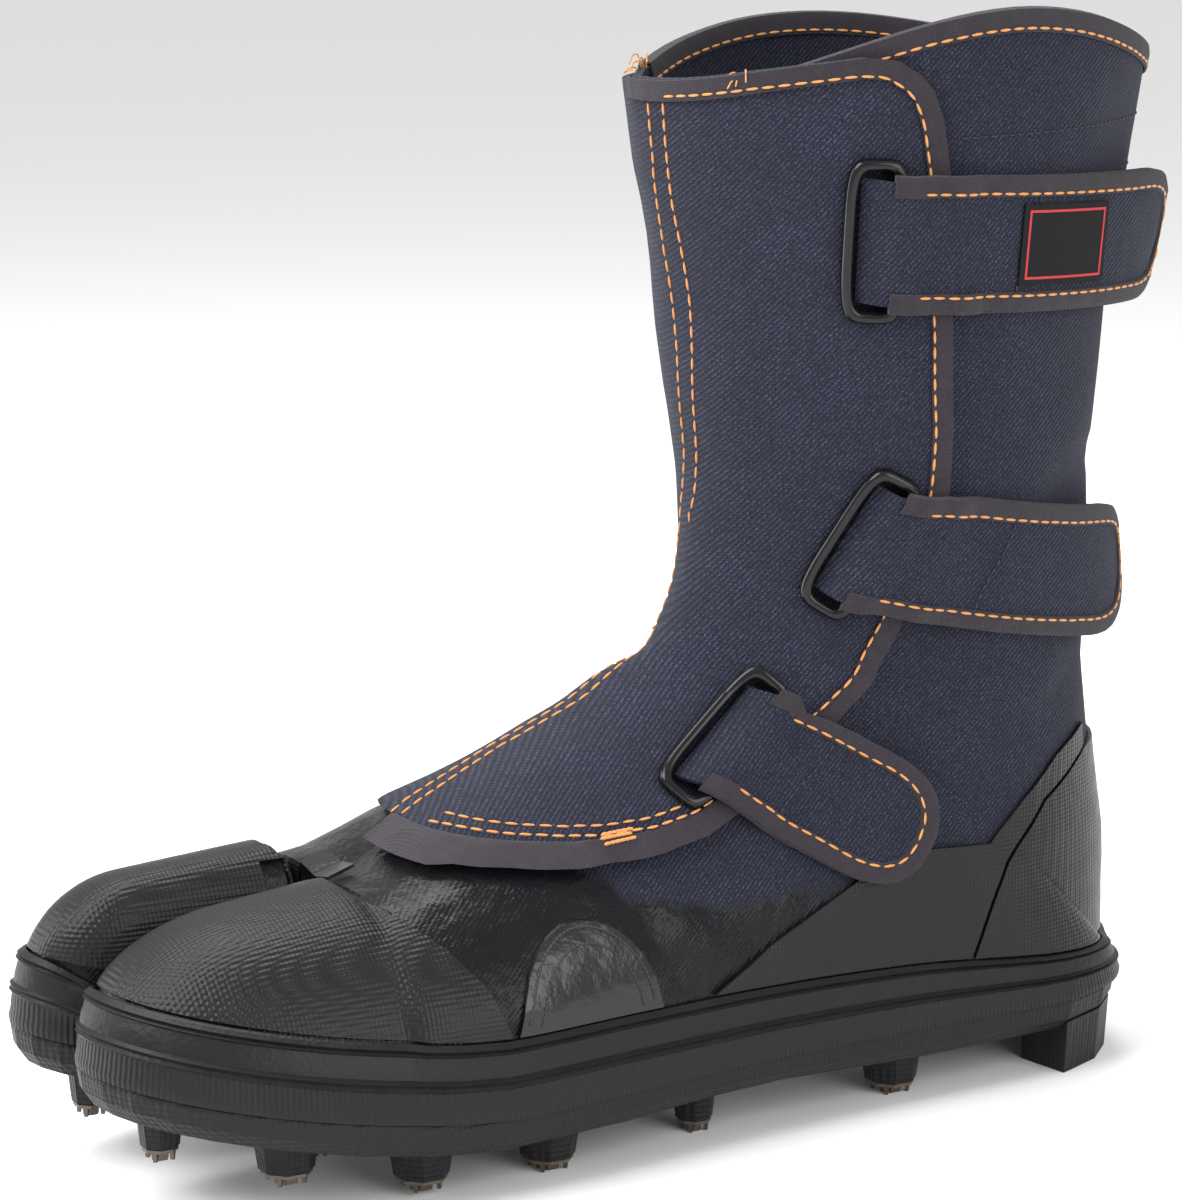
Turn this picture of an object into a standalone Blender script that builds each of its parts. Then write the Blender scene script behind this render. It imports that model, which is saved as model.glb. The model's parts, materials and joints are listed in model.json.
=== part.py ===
"""Jika tabi: the left boot of a pair of split-toe work boots with a spiked rubber sole.

Metres, +Z up. The toe points to -Y and the outer side of the foot to +X. The studs stand on Z = 0,
and the origin is under the middle of the boot's outline.
"""

import math

import bmesh
import bpy
import numpy as np
from mathutils import Matrix, Vector
from mathutils.bvhtree import BVHTree

# Driving dimensions of the last
LENGTH = 0.286            # upper from heel back to big toe tip, without the rubber foxing
HEEL_Y = 0.138            # place of the heel back
BALL_WIDTH = 0.098        # upper at the ball, without the foxing
INSTEP_HEIGHT = 0.092     # sole top to the instep break
SHAFT_RISE = 0.138        # instep break to the front of the collar
TOE_SPRING = 0.0145
SPRING_START = 0.70       # share of the length where the sole starts to rise
WALL = 0.0022
GAP = 0.0003

# Split toe
CLEFT_X = -0.007
CLEFT_GAP = 0.0064
CLEFT_ROOT = 0.782        # share of the length where the split ends
CLEFT_RISE = 0.006        # length over which the wall at the split's root rises
VALLEY_LENGTH = 0.030     # shallow valley behind the split
VALLEY_DEPTH = 0.14

# Collar line
COLLAR_RISE_OUTER = 0.018
COLLAR_RISE_INNER = 0.012
BINDING_WIDTH = 0.0050
COLLAR_REACH = 0.0130     # how far a panel may rise over the collar
BINDING_THICKNESS = 0.0007

# Sole
STUD_HEIGHT = 0.0120      # floor to the sole's underside
SOLE_THICKNESS = 0.0080
SOLE_ARCH = 0.0015
SOLE_EDGE = 0.0030        # sole edge beyond the upper
CLEFT_EDGE = 0.0009       # the same inside the split
INSOLE_THICKNESS = 0.0030
INSOLE_INSET = 0.0022

# Foxing
FOXING_HEIGHT = 0.0185
FOXING_THICKNESS = 0.0027
FOXING_RIDGE = 0.0007

# Studs
STUD_WIDTH = 0.0165
STUD_BLOCK = 0.0086
TOE_STUD_WIDTH = 0.0115
SPIKE_PLATE = 0.0008
SPIKE_BOSS = 0.40         # hex boss, share of the stud's width
SPIKE_PIN_WIDTH = 0.0017
SPIKE_PIN_LENGTH = 0.0024
HEEL_BLOCK_WIDTH = 0.0150

# Flap, frames and straps
FLAP_THICKNESS = 0.0016
FRAME_LENGTH = 0.0395
FRAME_WIDTH = 0.0155
FRAME_BAR = 0.0028
STRAP_WIDTH = 0.0320
STRAP_THICKNESS = 0.0020
LABEL_PLACE = 0.0370      # from the middle of the frame
LABEL_WIDTH = 0.0290
LABEL_HEIGHT = 0.0195
LABEL_THICKNESS = 0.0005

# Rubber overlays
PATCH_THICKNESS = 0.0010

SOLE_TOP = STUD_HEIGHT + SOLE_THICKNESS + GAP
HALF_BALL = BALL_WIDTH / 2
TOE_ROWS = 8              # rows of faces along a toe
COLUMNS = 9               # faces from each foot of a section to its middle

# Plan of the upper at the sole: shares of the length from the heel, and of half the ball width
PLAN = [
    # along, lateral, medial
    (0.00, 0.72, 0.71),
    (0.12, 0.75, 0.73),
    (0.25, 0.78, 0.72),
    (0.40, 0.82, 0.67),
    (0.55, 0.91, 0.76),
    (0.70, 1.00, 0.93),
    (0.80, 1.00, 0.97),
    (0.90, 1.00, 0.95),
    (1.00, 1.00, 0.93),
]
HEEL_ROUND = 0.135        # share of the length over which the heel closes

# The two toes. Along: shares of the length. Across: shares of half the ball width.
# Heights: shares of the instep height above the sole top.
TOES = {
    "lateral": dict(tip=0.996, tip_x=0.20, ridge_x=0.13, root_height=0.535, tip_height=0.46,
                    outer_round=0.745, inner_round=0.930, top_round=0.875, outer_power=2.1, inner_power=3.0),
    "medial": dict(tip=1.000, tip_x=-0.56, ridge_x=-0.50, root_height=0.560, tip_height=0.51,
                   outer_round=0.870, inner_round=0.925, top_round=0.910, outer_power=2.3, inner_power=3.0),
}
NOSE_HEIGHT = 0.06        # height of a toe's foremost point over the sole, share of the instep height

# Sections behind the split, each in a plane from its rear point to its front point.
# rear and front: share of the length from the heel; up: 0 sole top, 1 instep break, 2 collar.
# lateral and medial: widest half width as a share of half the ball width, at height share belly.
# ridge: sideways shift of the front point; power: 2 is round, more is boxier.
SECTIONS = [
    # rear,  rear_up, front, front_up, lateral, medial, belly, ridge, power
    (0.782, 0.000, 0.782, 0.560, 1.00, 0.97, 0.34, -0.16, 2.2),
    (0.695, 0.000, 0.697, 0.620, 1.02, 0.97, 0.33, -0.16, 2.2),
    (0.570, 0.000, 0.606, 0.722, 0.95, 0.89, 0.33, -0.15, 2.1),
    (0.410, 0.000, 0.537, 0.840, 0.85, 0.81, 0.35, -0.12, 2.0),
    (0.255, 0.000, 0.487, 0.935, 0.80, 0.77, 0.38, -0.08, 2.0),
    (0.105, 0.000, 0.450, 1.002, 0.78, 0.75, 0.42, -0.04, 2.0),
    (0.025, 0.000, 0.434, 1.045, 0.77, 0.75, 0.46, -0.02, 2.0),
    (0.000, 0.000, 0.422, 1.098, 0.76, 0.75, 0.48, 0.00, 2.0),
    (0.000, 0.280, 0.414, 1.160, 0.78, 0.77, 0.50, 0.00, 2.0),
    (0.018, 0.700, 0.409, 1.240, 0.80, 0.80, 0.50, 0.00, 2.0),
    (0.028, 1.045, 0.408, 1.315, 0.85, 0.84, 0.50, 0.00, 2.0),
    (0.033, 1.275, 0.412, 1.420, 0.92, 0.91, 0.50, 0.00, 2.0),
    (0.024, 1.520, 0.423, 1.580, 0.97, 0.96, 0.50, 0.00, 2.0),
    (0.004, 1.780, 0.440, 1.797, 1.02, 1.01, 0.50, 0.00, 2.0),
    (-0.018, 2.036, 0.455, 2.000, 1.06, 1.05, 0.50, 0.00, 2.0),
]
SECTION_NAMES = ("rear", "rear_up", "front", "front_up", "lateral", "medial", "belly", "ridge", "power")
COLLAR = len(SECTIONS) - 1
COLLAR_RISE_START = 11.0

# Foxing height along the length, share of its height at the ball
FOXING_LINE = [(0.00, 0.52), (0.10, 0.62), (0.28, 0.88), (0.45, 0.97), (0.60, 1.00), (0.80, 1.00), (1.00, 1.02)]
# Foxing profile: share of its height, share of its thickness, and whether the ridge is added
FOXING_STEPS = [
    (0.00, 1.00, 0), (0.22, 0.88, 0), (0.44, 0.74, 0), (0.50, 0.76, 1), (0.57, 0.64, 0),
    (0.93, 0.46, 1), (1.00, 0.34, 0),
]
FOXING_WALL = (0.03, 0.36, 0.68, 1.0)     # heights at which the tape touches the upper
# Side wall of the outsole: share of its height, and inset as a share of the sole edge
SOLE_STEPS = [(1.00, 0.15), (0.88, 0.05), (0.40, 0.25), (0.00, 1.10)]

# Studs: share of the length from the heel, share of half the ball width, and size
STUDS = {
    "toe_big": (0.945, -0.55, "small"),
    "toe_outer": (0.940, 0.22, "small"),
    "fore_outer_1": (0.855, 0.56, "large"),
    "fore_inner_1": (0.835, -0.54, "large"),
    "fore_middle_1": (0.800, 0.12, "large"),
    "fore_outer_2": (0.745, 0.70, "large"),
    "fore_inner_2": (0.715, -0.56, "large"),
    "fore_middle_2": (0.680, 0.06, "large"),
    "fore_outer_3": (0.625, 0.68, "large"),
    "fore_inner_3": (0.590, -0.42, "large"),
    "waist_outer": (0.470, 0.55, "small"),
    "heel_outer": (0.265, 0.52, "large"),
    "heel_inner": (0.265, -0.50, "large"),
    "heel_middle": (0.170, 0.00, "large"),
}


# Curves through the tables

def through(points, values, at):
    """A smooth curve through the table's points that never overshoots them."""
    points, values, at = (np.asarray(item, float) for item in (points, values, at))
    steps = np.diff(points)
    slopes = np.diff(values) / steps
    tangents = np.concatenate([slopes[:1], np.zeros(len(slopes) - 1), slopes[-1:]])
    same_way = slopes[:-1] * slopes[1:] > 0
    before, after = 2 * steps[1:] + steps[:-1], steps[1:] + 2 * steps[:-1]
    safe = np.where(slopes == 0, 1.0, slopes)
    mean = (before + after) / (before / safe[:-1] + after / safe[1:])
    tangents[1:-1] = np.where(same_way, mean, 0.0)
    index = np.clip(np.searchsorted(points, at, side="right") - 1, 0, len(steps) - 1)
    share = (np.clip(at, points[0], points[-1]) - points[index]) / steps[index]
    rise = 3 * share ** 2 - 2 * share ** 3
    return (values[index] * (1 - rise) + values[index + 1] * rise
            + steps[index] * (tangents[index] * share * (1 - share) ** 2
                              - tangents[index + 1] * share ** 2 * (1 - share)))


def ease(share):
    share = min(max(share, 0.0), 1.0)
    return share * share * (3 - 2 * share)


def round_off(share, power):
    """Falls from 1 to 0 as share goes from 0 to 1, along a quarter of a rounded square."""
    share = min(max(share, 0.0), 1.0)
    return (1 - share ** power) ** (1 / power)


def along(y):
    return (HEEL_Y - y) / LENGTH


def place(share):
    return HEEL_Y - share * LENGTH


def level(share):
    """Height for a share that is 0 at the sole top, 1 at the instep break and 2 at the collar."""
    return SOLE_TOP + INSTEP_HEIGHT * min(share, 1.0) + SHAFT_RISE * max(share - 1.0, 0.0)


def spring(share):
    return TOE_SPRING * (max(share - SPRING_START, 0.0) / (1 - SPRING_START)) ** 1.3


def plan_half_width(side, share):
    """Distance from the middle line to the upper's edge at the sole, before the toes close."""
    column = 1 if side == "lateral" else 2
    width = through([row[0] for row in PLAN], [row[column] for row in PLAN], share) * HALF_BALL
    return float(width) * round_off((HEEL_ROUND - share) / HEEL_ROUND, 2.1)


# Sections of the upper

def spaced(curve, count, reach=1.0):
    """Points at equal steps along a curve, as far as the given share of it."""
    lengths = np.concatenate([[0.0], np.cumsum(np.linalg.norm(np.diff(curve, axis=0), axis=1))])
    wanted = np.linspace(0.0, lengths[-1] * reach, count + 1)
    return np.stack([np.interp(wanted, lengths, curve[:, axis]) for axis in range(3)], axis=1)


def toe_section(side, share, count):
    """From the outer foot of one toe's section over its ridge and down into the split."""
    toe = TOES[side]
    sign = 1.0 if side == "lateral" else -1.0
    tip = toe["tip"]
    outer_close = round_off((share - toe["outer_round"]) / (tip - toe["outer_round"]), 2.2)
    inner_close = round_off((share - toe["inner_round"]) / (tip - toe["inner_round"]), 2.0)
    top_close = round_off((share - toe["top_round"]) / (tip - toe["top_round"]), 2.2)
    tip_x = toe["tip_x"] * HALF_BALL
    outer = tip_x + (sign * plan_half_width(side, share) - tip_x) * outer_close
    inner = tip_x + (CLEFT_X + sign * CLEFT_GAP / 2 - tip_x) * inner_close
    ridge = tip_x + (toe["ridge_x"] * HALF_BALL - tip_x) * min(outer_close, inner_close)
    foot = SOLE_TOP + spring(share)
    run = max(share - CLEFT_ROOT, 0.0) / (tip - CLEFT_ROOT)
    crest = SOLE_TOP + INSTEP_HEIGHT * (toe["root_height"] * (1 - run) + toe["tip_height"] * run)
    nose = SOLE_TOP + spring(tip) + INSTEP_HEIGHT * NOSE_HEIGHT
    height = nose + (crest - nose) * top_close - foot
    turn = np.linspace(0.0, math.pi / 2, 24)
    curve = []
    for angle in turn:
        power = 2 / toe["outer_power"]
        curve.append((ridge + (outer - ridge) * math.cos(angle) ** power, foot + height * math.sin(angle) ** power))
    for angle in turn[-2::-1]:
        power = 2 / toe["inner_power"]
        curve.append((ridge + (inner - ridge) * max(math.cos(angle), 0.0) ** power,
                      foot + height * math.sin(angle) ** power))
    y = place(share)
    return spaced(np.array([(x, y, z) for x, z in curve]), count)


def section_values(station):
    rows = np.arange(len(SECTIONS))
    return {name: float(through(rows, [row[column] for row in SECTIONS], station))
            for column, name in enumerate(SECTION_NAMES)}


def arch_section(side, station, count):
    """From the outer foot of a section behind the split up to the middle of its front."""
    row = section_values(station)
    sign = 1.0 if side == "lateral" else -1.0
    foot_height = spring(row["rear"]) if row["rear_up"] == 0.0 else 0.0
    rear = np.array([place(row["rear"]), level(row["rear_up"]) + foot_height])
    front = np.array([place(row["front"]), level(row["front_up"])])
    foot = plan_half_width(side, row["rear"]) if row["rear_up"] == 0.0 else 0.0
    wide = max(row[side] * HALF_BALL, foot)
    belly, power = row["belly"], row["power"]
    curve = []
    for turn in np.linspace(0.0, 1.0, 49):
        up = 0.5 - 0.5 * math.cos(math.pi * turn)
        if up < belly:
            width = foot + (wide - foot) * round_off((belly - up) / belly, 2.0)
            shift = 0.0
        else:
            width = wide * round_off((up - belly) / (1 - belly), power)
            shift = row["ridge"] * HALF_BALL * ease((up - belly) / (1 - belly))
        y, z = rear + (front - rear) * up
        curve.append((shift + sign * width, y, z))
    curve = np.array(curve)
    points = spaced(curve, count, 1 - 0.25 / count)
    rise = COLLAR_RISE_OUTER if side == "lateral" else COLLAR_RISE_INNER
    fade = ease((station - COLLAR_RISE_START) / (COLLAR - COLLAR_RISE_START))
    points[:, 2] += rise * fade * np.sin(np.pi * np.linspace(0.0, 1.0, count + 1)) ** 2
    return points


def section(side, station, count=COLUMNS):
    """One half of a section. Stations run from -1 at the toe tip over 0 at the split's root to the collar."""
    if station < 0:
        share = CLEFT_ROOT + (TOES[side]["tip"] - CLEFT_ROOT) * math.sin(-station * math.pi / 2)
        return toe_section(side, share, count)
    share = section_values(station)["rear"]
    behind = (CLEFT_ROOT - share) * LENGTH
    if behind >= CLEFT_RISE + VALLEY_LENGTH:
        return arch_section(side, station, count)
    valley = VALLEY_DEPTH * (1 - ease((behind - CLEFT_RISE) / VALLEY_LENGTH))
    join = ease(behind / CLEFT_RISE) * (1 - valley)
    return toe_section(side, share, count) * (1 - join) + arch_section(side, station, count) * join


def station_behind(distance):
    """The station whose foot lies that far behind the root of the split."""
    return distance / (LENGTH * (SECTIONS[0][0] - SECTIONS[1][0]))


def upper_stations(steps=1):
    toes = [-1 + step / (TOE_ROWS * steps) for step in range(TOE_ROWS * steps)]
    root = [0.0] + [station_behind(part * CLEFT_RISE) for part in (0.3, 0.6, 1.0)] + [station_behind(0.014)]
    binding = COLLAR - BINDING_WIDTH / (SHAFT_RISE * 0.24)
    spans = [1.0, 2.0, 2.5, 3.0, 3.5, 4.0, 5.0, 5.5, 6.0, 6.4, 6.75, 7.0, 7.5, 8.0, 9.0,
             10.0, 11.0, 11.5, 12.0, 13.0, 13.5, binding, COLLAR]
    if steps > 1:
        spans = [first + (second - first) * part / steps
                 for first, second in zip(spans, spans[1:]) for part in range(steps)] + [spans[-1]]
    return toes + root + spans


# Sheets and solids

def raised(rows, rise):
    """The rows with one more above the collar, for the panels that end higher than the collar."""
    extra = []
    for low, high in zip(rows[-2], rows[-1]):
        way = high - low
        extra.append(high + way / np.linalg.norm(way, axis=1)[:, None] * rise)
    return rows + [tuple(extra)]


def sheet_mesh(rows, closed_from):
    """A sheet through rows of points in two halves. The halves join along the front from one row on."""
    mesh = bmesh.new()
    grid = [[[mesh.verts.new(point) for point in half] for half in row] for row in rows]
    for number, (low, high) in enumerate(zip(grid, grid[1:])):
        for half in (0, 1):
            for column in range(len(low[half]) - 1):
                quad = [low[half][column], high[half][column], high[half][column + 1], low[half][column + 1]]
                mesh.faces.new(quad if half == 0 else quad[::-1])
        if number >= closed_from:
            mesh.faces.new([low[0][-1], high[0][-1], high[1][-1], low[1][-1]])
    bmesh.ops.remove_doubles(mesh, verts=mesh.verts, dist=2e-5)
    bad = [face for face in mesh.faces if face.calc_area() < 1e-11]
    bmesh.ops.delete(mesh, geom=bad, context="FACES_ONLY")
    mesh.normal_update()
    return mesh


def shell(sheet, inner, outer, keep=None):
    """A closed solid between two distances from a sheet, over the faces that are kept."""
    solid = bmesh.new()
    low, high = {}, {}
    for vertex in sheet.verts:
        way = vertex.normal.copy()
        if vertex.co.z < SOLE_TOP + spring(along(vertex.co.y)) + GAP / 2:
            way.z = 0.0
            way.normalize()
        low[vertex] = solid.verts.new(vertex.co + way * inner)
        high[vertex] = solid.verts.new(vertex.co + way * outer)
    faces = [face for face in sheet.faces if keep is None or keep(face)]
    kept = set(faces)
    for face in faces:
        solid.faces.new([high[vertex] for vertex in face.verts])
        solid.faces.new([low[vertex] for vertex in reversed(face.verts)])
        for loop in face.loops:
            if not any(other in kept and other is not face for other in loop.edge.link_faces):
                first, second = loop.vert, loop.link_loop_next.vert
                solid.faces.new([high[second], high[first], low[first], low[second]])
    loose = [vertex for vertex in solid.verts if not vertex.link_faces]
    bmesh.ops.delete(solid, geom=loose, context="VERTS")
    return solid


def material(name, color, roughness, metallic=0.0):
    finish = bpy.data.materials.new(name)
    finish.use_nodes = True
    shader = finish.node_tree.nodes["Principled BSDF"]
    shader.inputs["Base Color"].default_value = (*color, 1.0)
    shader.inputs["Roughness"].default_value = roughness
    shader.inputs["Metallic"].default_value = metallic
    finish.diffuse_color = (*color, 1.0)
    return finish


def add_object(name, mesh, finish=None, smooth=35.0):
    """Turns a bmesh into a named object with one material."""
    bmesh.ops.triangulate(mesh, faces=mesh.faces)
    mesh.normal_update()
    data = bpy.data.meshes.new(name)
    mesh.to_mesh(data)
    mesh.free()
    thing = bpy.data.objects.new(name, data)
    bpy.context.scene.collection.objects.link(thing)
    if finish is not None:
        data.materials.append(finish)
    data.shade_smooth()
    data.set_sharp_from_angle(angle=math.radians(smooth))
    return thing


def combine(thing, other, operation):
    """Joins, cuts or keeps the common part of two solids, then drops the second one."""
    modifier = thing.modifiers.new(operation.lower(), "BOOLEAN")
    modifier.operation = operation
    modifier.solver = "MANIFOLD"
    modifier.object = other
    evaluated = thing.evaluated_get(bpy.context.evaluated_depsgraph_get())
    data = bpy.data.meshes.new_from_object(evaluated)
    thing.modifiers.clear()
    thing.data = data
    bpy.data.objects.remove(other, do_unlink=True)
    return thing


def tidy(thing, smooth=35.0, flat=False):
    """Triangulates a piece after a cut. A piece with flat faces loses the lines within them first."""
    mesh = bmesh.new()
    mesh.from_mesh(thing.data)
    if flat:
        bmesh.ops.dissolve_limit(mesh, angle_limit=math.radians(0.5), verts=mesh.verts, edges=mesh.edges)
    bmesh.ops.triangulate(mesh, faces=mesh.faces, ngon_method="EAR_CLIP")
    mesh.to_mesh(thing.data)
    mesh.free()
    thing.data.shade_smooth()
    thing.data.set_sharp_from_angle(angle=math.radians(smooth))
    return thing


def side_prism(outline, x_low, x_high):
    """A prism across the boot. Its outline is seen from the outer side, as points (y, z)."""
    prism = bmesh.new()
    rings = [[prism.verts.new((x, y, z)) for y, z in outline] for x in (x_low, x_high)]
    area = sum(first[0] * second[1] - second[0] * first[1] for first, second in zip(outline, outline[1:] + outline[:1]))
    if area < 0:
        rings = [ring[::-1] for ring in rings]
    prism.faces.new(rings[1])
    prism.faces.new(rings[0][::-1])
    for number in range(len(outline)):
        after = (number + 1) % len(outline)
        prism.faces.new([rings[0][number], rings[0][after], rings[1][after], rings[1][number]])
    return add_object("cutter", prism)


# Sole plan

ACROSS = 3                # faces across each half of the sole
SOLE_STATIONS = [station for station in upper_stations() if station <= 7.0]
ROOT_ROW = SOLE_STATIONS.index(0.0)


def foot_path():
    """The upper's edge at the sole as a closed path from the heel, outer side first, seen from above."""
    path = []

    def add(point, share, inside, key):
        path.append(dict(point=np.array(point[:2]), share=share, inside=inside, key=key))

    def share_of(point):
        return along(point[1])

    for side in ("lateral", "medial"):
        outer, inner = [], []
        for row, station in enumerate(SOLE_STATIONS):
            points = section(side, station)
            outer.append((points[0], share_of(points[0]), 0.0, (side, "outer", row)))
            if station <= 0:
                from_tip = (TOES[side]["tip"] - share_of(points[-1])) * LENGTH
                inner.append((points[-1], share_of(points[-1]), ease(from_tip / 0.016), (side, "inner", row)))
        if side == "lateral":
            for entry in outer[::-1] + inner[1:]:
                add(*entry)
            add((CLEFT_X, place(CLEFT_ROOT)), CLEFT_ROOT, 1.0, ("middle", "root", 0))
        else:
            for entry in inner[:0:-1] + outer[:-1]:
                add(*entry)
    for number, entry in enumerate(path):
        way = path[(number + 1) % len(path)]["point"] - path[number - 1]["point"]
        way /= np.linalg.norm(way)
        entry["normal"] = np.array((-way[1], way[0]))
    return path


def edge_of(entry, grow):
    """The path's point moved out by the given distance, less inside the split."""
    inside = entry["inside"]
    reach = grow if grow < 0 else grow * (1 - inside) + grow * (CLEFT_EDGE / SOLE_EDGE) * inside
    return entry["point"] + entry["normal"] * reach


def plan_rows(path, grow):
    """Rows of points across the sole, one for each station, in an outer and an inner half."""
    edge = {entry["key"]: edge_of(entry, grow) for entry in path}
    for side in ("lateral", "medial"):
        edge[side, "inner", 0] = edge.get((side, "outer", 0))
    edge["medial", "outer", len(SOLE_STATIONS) - 1] = edge["lateral", "outer", len(SOLE_STATIONS) - 1]
    root = {side: edge[side, "outer", ROOT_ROW] for side in ("lateral", "medial")}
    shares = {side: (root[side][0] - edge[side, "inner", ROOT_ROW][0])
              / (root[side][0] - root["medial" if side == "lateral" else "lateral"][0])
              for side in ("lateral", "medial")}
    rows = []
    for row in range(len(SOLE_STATIONS)):
        halves = []
        for side, other in (("lateral", "medial"), ("medial", "lateral")):
            start = edge[side, "outer", row]
            if row <= ROOT_ROW:
                end = edge[side, "inner", row]
            else:
                end = start + (edge[other, "outer", row] - start) * shares[side]
            halves.append([start + (end - start) * column / ACROSS for column in range(ACROSS + 1)])
        rows.append(halves)
    return rows


def slab(path, levels):
    """A closed solid with the sole's plan. Levels run from the top down, as (grow, height at a share)."""
    last = len(SOLE_STATIONS) - 1

    def key(row, half, column):
        if row == last:
            return (last, 0, 0)
        return (row, half, 0 if row == 0 else column)

    faces = []
    for row in range(last):
        for half in (0, 1):
            for column in range(ACROSS):
                quad = [key(row, half, column), key(row + 1, half, column),
                        key(row + 1, half, column + 1), key(row, half, column + 1)]
                faces.append(quad if half == 0 else quad[::-1])
        if row >= ROOT_ROW:
            faces.append([key(row, 0, ACROSS), key(row + 1, 0, ACROSS), key(row + 1, 1, ACROSS), key(row, 1, ACROSS)])
    faces = [list(dict.fromkeys(face)) for face in faces]
    faces = [face for face in faces if len(face) > 2]
    edges = {(first, second) for face in faces for first, second in zip(face, face[1:] + face[:1])}
    border = sorted(edge for edge in edges if edge[::-1] not in edges)
    solid = bmesh.new()
    rings = []
    for number, (grow, height) in enumerate(levels):
        rows = plan_rows(path, grow)
        whole = number in (0, len(levels) - 1)
        wanted = {item for face in faces for item in face} if whole else {item for edge in border for item in edge}
        ring = {}
        for row, half, column in sorted(wanted):
            x, y = rows[row][half][column]
            ring[row, half, column] = solid.verts.new((x, y, height(along(y))))
        rings.append(ring)
    for face in faces:
        solid.faces.new([rings[0][item] for item in face])
        solid.faces.new([rings[-1][item] for item in reversed(face)])
    for upper, lower in zip(rings, rings[1:]):
        for first, second in border:
            solid.faces.new([upper[second], upper[first], lower[first], lower[second]])
    return solid


def underside(share):
    arch = SOLE_ARCH * ease((0.60 - share) / 0.15) * ease((share - 0.28) / 0.12)
    return STUD_HEIGHT + spring(share) + arch


def foxing_height(share):
    return FOXING_HEIGHT * float(through(*zip(*FOXING_LINE), share))


def foxing_top(share):
    return SOLE_TOP + spring(share) + foxing_height(share)


# Pieces of the sole

def cone(sides, width_top, width_bottom, high, low, at, turn=0.0):
    """A tapered prism that stands upright at a place."""
    solid = bmesh.new()
    radius_top, radius_bottom = width_top / 2, width_bottom / 2
    bmesh.ops.create_cone(solid, cap_ends=True, segments=sides, radius1=radius_bottom, radius2=radius_top,
                          depth=high - low)
    bmesh.ops.rotate(solid, verts=solid.verts, cent=(0, 0, 0), matrix=Matrix.Rotation(turn, 3, "Z"))
    bmesh.ops.translate(solid, verts=solid.verts, vec=(at[0], at[1], (high + low) / 2))
    return solid


def heel_block(path):
    """The thick rubber rim under the rear of the heel."""
    arc = [entry for entry in path if entry["share"] < 0.17 and entry["inside"] == 0.0]
    arc.sort(key=lambda entry: -math.atan2(entry["point"][0], entry["point"][1] - place(0.17)))
    solid = bmesh.new()
    rings = []
    for entry in arc:
        outer = entry["point"] + entry["normal"] * SOLE_EDGE * 0.55
        foot = entry["point"] + entry["normal"] * SOLE_EDGE * 0.25
        inner = entry["point"] - entry["normal"] * HEEL_BLOCK_WIDTH
        top = STUD_HEIGHT + SOLE_THICKNESS * 0.2
        rings.append([solid.verts.new((*outer, top)), solid.verts.new((*foot, 0.0)),
                      solid.verts.new((*inner, 0.0)), solid.verts.new((*inner, top))])
    for first, second in zip(rings, rings[1:]):
        for corner in range(4):
            after = (corner + 1) % 4
            solid.faces.new([first[corner], first[after], second[after], second[corner]])
    solid.faces.new(rings[0][::-1])
    solid.faces.new(rings[-1])
    bmesh.ops.recalc_face_normals(solid, faces=solid.faces)
    return add_object("heel_block", solid)


def stud_place(name):
    share, across, size = STUDS[name]
    width = STUD_WIDTH if size == "large" else TOE_STUD_WIDTH
    return (across * HALF_BALL, place(share)), spring(share), width


def make_outsole(path, rubber):
    levels = []
    for share, inset in SOLE_STEPS:
        def height(at, share=share):
            low = underside(at)
            return low + (SOLE_TOP - GAP + spring(at) - low) * share
        levels.append((SOLE_EDGE * (1 - inset), height))
    sole = add_object("outsole", slab(path, levels), rubber)
    combine(sole, heel_block(path), "UNION")
    for name in STUDS:
        at, lift, width = stud_place(name)
        low = STUD_HEIGHT - STUD_BLOCK + lift
        block = cone(8, width * 1.0, width * 0.80, low + STUD_BLOCK + SOLE_THICKNESS * 0.3, low, at, math.pi / 8)
        combine(sole, add_object("block", block), "UNION")
    sole.data.materials.clear()
    sole.data.materials.append(rubber)
    return tidy(sole)


def make_insole(path, sheet, foam):
    grow = -(WALL + INSOLE_INSET)
    levels = [(grow, lambda at: SOLE_TOP + GAP + INSOLE_THICKNESS + spring(at)),
              (grow, lambda at: SOLE_TOP + GAP + spring(at))]
    return fitted(add_object("insole", slab(path, levels), foam), sheet, GAP, foam)


def wall_reaches(path, skin):
    """Distance from the path out to the upper, for each path point and each height in FOXING_WALL.

    Each one is the largest distance around its place, so that straight faces between them clear the upper.
    """
    heights = [low + (high - low) * part for low, high in zip(FOXING_WALL, FOXING_WALL[1:]) for part in (0.0, 0.5)]
    heights.append(FOXING_WALL[-1])
    found = []
    for entry, after in zip(path, path[1:] + path[:1]):
        for part in (0.0, 0.25, 0.5, 0.75):
            point = entry["point"] * (1 - part) + after["point"] * part
            way = entry["normal"] * (1 - part) + after["normal"] * part
            way = Vector((*(way / np.linalg.norm(way)), 0.0))
            foot, tall = foxing_span(entry if part == 0 else after)
            starts = [Vector((*point, foot + tall * up)) - way * 0.008 for up in heights]
            hits = [skin.ray_cast(start, way, 0.02)[3] for start in starts]
            found.append([-0.008 + (hit or 0.0) for hit in hits])
    found = np.array(found)
    around = np.max([np.roll(found, shift, axis=0) for shift in range(-3, 4)], axis=0)[::4]
    columns = range(0, len(heights), 2)
    return [[max(row[max(column - 1, 0):column + 2]) for column in columns] for row in around]


def foxing_span(entry):
    """The height of the foxing's foot and its own height at a point of the path."""
    tall = foxing_height(entry["share"]) * (1 - 0.25 * entry["inside"])
    return SOLE_TOP + spring(entry["share"]), tall


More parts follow.
